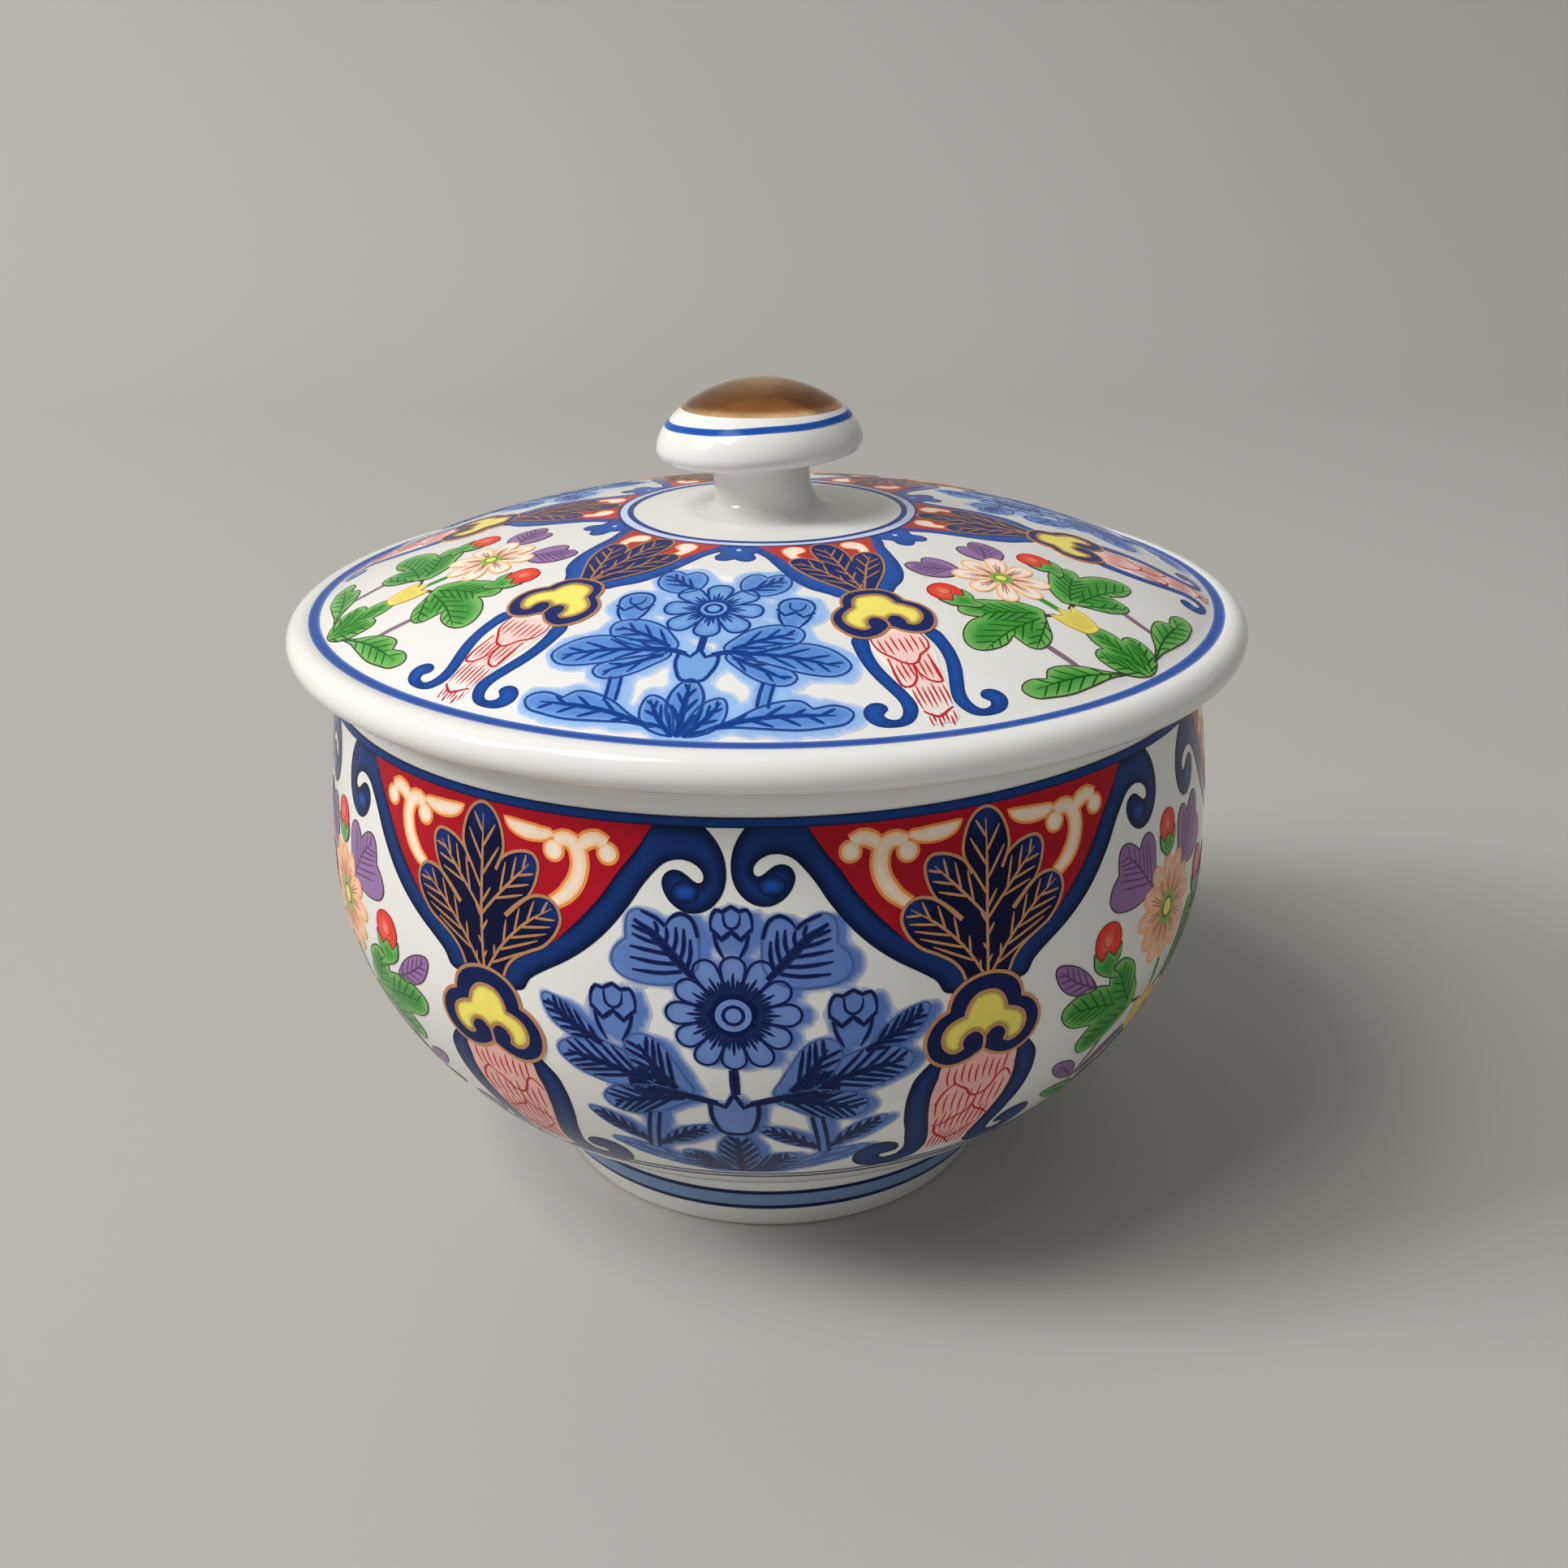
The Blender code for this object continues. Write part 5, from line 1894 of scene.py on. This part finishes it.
LID_HEART = [
    (0, 29.9), (1.2, 30.1), (1.9, 30.9), (2.15, 31.9, 1), (2.9, 32.4), (3.7, 33.2), (3.85, 34.3),
    (3.3, 35.3), (2.5, 35.8), (1.9, 35.55, 1), (1.95, 34.9), (1.6, 34.2), (0.95, 33.95), (0.4, 34.2),
    (0, 34.8, 1),
]
lid_lappet.fill("enamel", 4, twin(LID_LEAF), LID_NAVY, grain=0.8)
lid_middle = (LID_MIDDLE, LID_MIDDLE_RIB, 6, (0.8, 0.8))
lid_sides = [(LID_SECOND, LID_SECOND_RIB, 4, None, (0.8, 0.8))]
dark_leaf(lid_lappet, lid_middle, lid_sides, (LID_NAVY, LID_NAVY), (0.24, 0.24, 0.26))
cloud_head(lid_lappet, LID_HEAD, LID_HEART, LID_NAVY, 0.24)
paint_on(lid_lappet, DOME, LID_LAPPETS, "lid", "lid_glaze")

# %% The drops between the lappets
LID_DROPS = even(-9.4, 48.8, 109.6, 170.5, 231.5, 292.5)
DROP = [
    (0, 16.4), (2.6, 16.2), (2.5, 17.4), (2, 18.3), (1.7, 18.8), (2.1, 19.6), (1.9, 20.6), (1.1, 20.95),
    (0.4, 20.7), (0, 20.4),
]
lid_drop = Drawing("lid_drop")
lid_drop.fill("cobalt", 0, twin(DROP), COBALT, rim=DEEP_COBALT, soft=0.6, grain=0.6)
lid_drop.fill("cobalt", 1, ring((0.0, 17.8), 0.28), PALE_RING)
paint_on(lid_drop, DOME, LID_DROPS, "lid", "lid_glaze")

# %% [markdown]
# The plain lines are banded on the wheel: the pot turns and the brush stands still. They are the rim
# line, two thin lines over the foot, a washed band on the foot, the rings of the lid and the line on the
# knob. Lines of the bowl are placed by their length along the wall, and rings by their radius.

# %% Lines that run round
FOOT_BAND = (7.3, 3.6)
FOOT_LINE = 0.75


def ring_bands(sheet, profile, runs, rings):
    for coat, inner, outer, colour, core in rings:
        near, far = (float(run_at_radius(r, profile, runs)) for r in (inner, outer))
        sheet.band("cobalt", coat, near, far, colour, core)


band_top, band_low = (float(np.interp(-height, -BOWL_WALL[:, 1], WALL_RUNS)) for height in FOOT_BAND)
bowl_lines = Drawing("bowl_lines")
bowl_lines.band("cobalt", 6, 2.25, 3.2, FRAME_DARK, DEEP_COBALT, tilt=-0.6)
bowl_lines.band("cobalt", 1, 47.2, 47.6, FOOT_GREY)
bowl_lines.band("cobalt", 1, 48.4, 49.1, FOOT_GREY)
bowl_lines.band("cobalt", 0, band_top, band_low, FOOT_WASH)
bowl_lines.band("cobalt", 1, band_top, band_top + FOOT_LINE, DEEP_COBALT, NAVY)
bowl_lines.band("cobalt", 1, band_low - FOOT_LINE, band_low, DEEP_COBALT, NAVY)
paint_on(bowl_lines, WALL, even(0.0), "bowl", "bowl_glaze", weld=True)

# %% Rings of the lid and line of the knob
LID_RINGS = (
    (3, 14.95, 15.6, RING_BLUE, DEEP_COBALT),
    (2, 15.5, 16.6, PALE_RING, None),
    (3, 16.4, 16.7, DEEP_COBALT, None),
    (1, 49.3, 50.5, RING_PALE, RING_BLUE),
)
lid_rings = Drawing("lid_rings")
ring_bands(lid_rings, LID_TOP, LID_RUNS, LID_RINGS)
paint_on(lid_rings, (DOME_LINE, on_wall), even(0.0), "lid", "lid_glaze", weld=True)

knob_line = Drawing("knob_line")
ring_bands(knob_line, KNOB_CAP, KNOB_RUNS, [(1, 9.7, 10.25, KNOB_BLUE, COBALT)])
paint_on(knob_line, (CAP_LINE, on_wall), even(0.0), "lid", "knob_gilt", weld=True, lean=KNOB_LEAN)

# %% Gold of the cap
GILT_ASIDE = 0.5
GILT_RADII = (8.8, 8.7)
GILT_STEPS = 48
angles = np.linspace(0, math.tau, GILT_STEPS + 1)[:-1]
gilt_edge = [(GILT_ASIDE + GILT_RADII[0] * math.sin(a), GILT_RADII[1] * math.cos(a)) for a in angles]
gilt_painted_sheen = ((GILT_ASIDE, 0.0), 6.5, GOLD_PAINTED_SHEEN)
knob_gilt = Drawing("knob_gilt")
# The bright rim and middle of the gold are a painted sheen.
knob_gilt.fill("cap", 0, gilt_edge, GOLD_WORN, rim=GOLD_PAINTED_SHEEN, soft=0.9, grain=0.5, pool=gilt_painted_sheen)
paint_on(knob_gilt, CAP, even(0.0), "lid", "knob_gilt", finishes={"cap": KNOB_GOLD}, lean=KNOB_LEAN)

# %% Clear the helpers away
for helper in (WALL_LINE, DOME_LINE, CAP_LINE):
    bpy.data.objects.remove(helper)
print("pieces painted:", len(PAINTED))

# %% [markdown]
# The pieces are tied to the bodies of the frame: what is on the bowl stays with the bowl, and what is
# on the lid lifts off with it.

# %% Tie the pieces to the frame
for node, piece, body, slot in (
    ("bowl", bowl, "bowl", "bowl_glaze"),
    ("lid", lid, "lid", "lid_glaze"),
    ("lid_knob", knob, "lid", "lid_glaze"),
):
    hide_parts(node)
    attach(piece, body)
for piece, body, slot in PAINTED:
    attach(piece, body)
print(f"{3 + len(PAINTED)} pieces tied")

# %% [markdown]
# The camera stands where it stood for the picture: close, a little above, looking down at the lid's
# front edge. Its place and angles were worked out from the rings of the lid, the rim line and the foot.

# %% Camera
CAMERA_PLACE = (0.0, -0.17240, 0.11675)
CAMERA_DOWN = 0.3996
CAMERA_SIDEWAYS = 0.00993
CAMERA_ROLL = -0.00547
CAMERA_LENS = 35.74
SENSOR_WIDTH = 36.0
NEAREST = 0.005


def placed(right, up, back, place):
    """The matrix of something at a place, from its own three directions."""
    matrix = Matrix.Identity(4)
    for column, axis in enumerate((right, up, back, place)):
        for row in range(3):
            matrix[row][column] = axis[row]
    return matrix


def unit(vector):
    return vector / np.linalg.norm(vector)


def aim_camera():
    across, level = math.sin(CAMERA_SIDEWAYS), math.cos(CAMERA_SIDEWAYS)
    flat = math.cos(CAMERA_DOWN)
    ahead = np.array((across * flat, level * flat, -math.sin(CAMERA_DOWN)))
    right = unit(np.cross(ahead, (0, 0, 1)))
    up = np.cross(right, ahead)
    turn, keep = math.sin(CAMERA_ROLL), math.cos(CAMERA_ROLL)
    return placed(keep * right + turn * up, keep * up - turn * right, -ahead, CAMERA_PLACE)


camera_data = bpy.data.cameras.new("camera")
camera_data.sensor_fit = "HORIZONTAL"
camera_data.sensor_width = SENSOR_WIDTH
camera_data.lens = CAMERA_LENS
camera_data.clip_start = NEAREST
camera = on_scene("camera", camera_data)
camera.matrix_world = aim_camera()
bpy.context.scene.camera = camera
print(f"camera: {CAMERA_LENS} mm lens, {math.degrees(CAMERA_DOWN):.1f} degrees down")

# %% [markdown]
# The bowl stands on a sheet of pale paper that curves up behind it. Two soft lamps at the upper left
# make the main light and the shadow on the right. A weak lamp in front, which the gloss doesn't mirror,
# and a wide one overhead keep the painting clear. The room round them is pale but gives little light.

# %% Paper
PAPER = tint(178, 176, 172)
PAPER_HALF = 1.6
PAPER_HEIGHT = 1.8
SWEEP_AT = 0.55
SWEEP_RADIUS = 0.35


def paper_sheet():
    side = [(-PAPER_HALF, 0.0), (SWEEP_AT, 0.0)]
    side += [tuple(p) for p in arc((SWEEP_AT, SWEEP_RADIUS), SWEEP_RADIUS, -90, 0, 24)]
    side += [(SWEEP_AT + SWEEP_RADIUS, PAPER_HEIGHT)]
    points = [(x, y, z) for y, z in side for x in (-PAPER_HALF, PAPER_HALF)]
    faces = [(2 * i, 2 * i + 1, 2 * i + 3, 2 * i + 2) for i in range(len(side) - 1)]
    mesh = bpy.data.meshes.new("paper")
    mesh.from_pydata(points, [], faces)
    mesh.polygons.foreach_set("use_smooth", [True] * len(faces))
    sheet = on_scene("paper", mesh)
    material, bench = bench_for("pale paper")
    shade = mixed(bench, cloud(bench, 3.0), PAPER, PAPER * 0.96)
    shaded(bench, {"Base Color": shade, "Roughness": 0.85})
    mesh.materials.append(material)
    return sheet


paper_sheet()
print("paper laid")

# %% Lamps and room
LAMP_AIM = np.array((0.0, 0.0, 0.045))
LAMP_WARM = (1.0, 0.985, 0.96)
LAMP_WHITE = (1.0, 1.0, 1.0)
ROOM_TONE = tint(255, 253, 250)
ROOM_LIGHT = 0.06
ROOM_LOOK = 0.45


def soft_lamp(name, place, size, power, colour):
    data = bpy.data.lights.new(name, "AREA")
    data.shape = "RECTANGLE"
    data.size, data.size_y = size
    data.energy = power
    data.color = colour
    away = unit(np.array(place) - LAMP_AIM)
    right = unit(np.cross((0, 0, 1), away))
    lamp = on_scene(name, data)
    lamp.matrix_world = placed(right, np.cross(away, right), away, place)
    return lamp


def pale_room():
    """A room that gives little light of its own, but looks pale to the camera and in the glaze."""
    room = bpy.data.worlds.new("room")
    room.use_nodes = True
    room.node_tree.nodes.clear()
    bench = Bench(room.node_tree)
    ray_kind = bench.node("ShaderNodeLightPath")
    seen = ray_kind["Is Camera Ray"] + ray_kind["Is Glossy Ray"] + ray_kind["Is Transmission Ray"]
    strength = ROOM_LIGHT + (ROOM_LOOK - ROOM_LIGHT) * seen
    glow = bench.node("ShaderNodeBackground", {"Color": solid(ROOM_TONE), "Strength": strength})
    bench.node("ShaderNodeOutputWorld", {"Surface": glow})
    return room


soft_lamp("key", (-1.1, -0.6, 2.05), (0.9, 0.9), 26.0, LAMP_WARM)
soft_lamp("side", (-1.6, -0.35, 1.25), (0.6, 0.6), 24.5, LAMP_WARM)
soft_lamp("front", (0.1, -1.1, 0.6), (0.8, 0.6), 1.9, LAMP_WHITE).visible_glossy = False
soft_lamp("ceiling", (0.0, 0.1, 1.5), (2.4, 2.4), 5.0, LAMP_WHITE)
bpy.context.scene.world = pale_room()
bpy.context.scene.view_settings.view_transform = "Standard"
print("four lamps and a pale room")
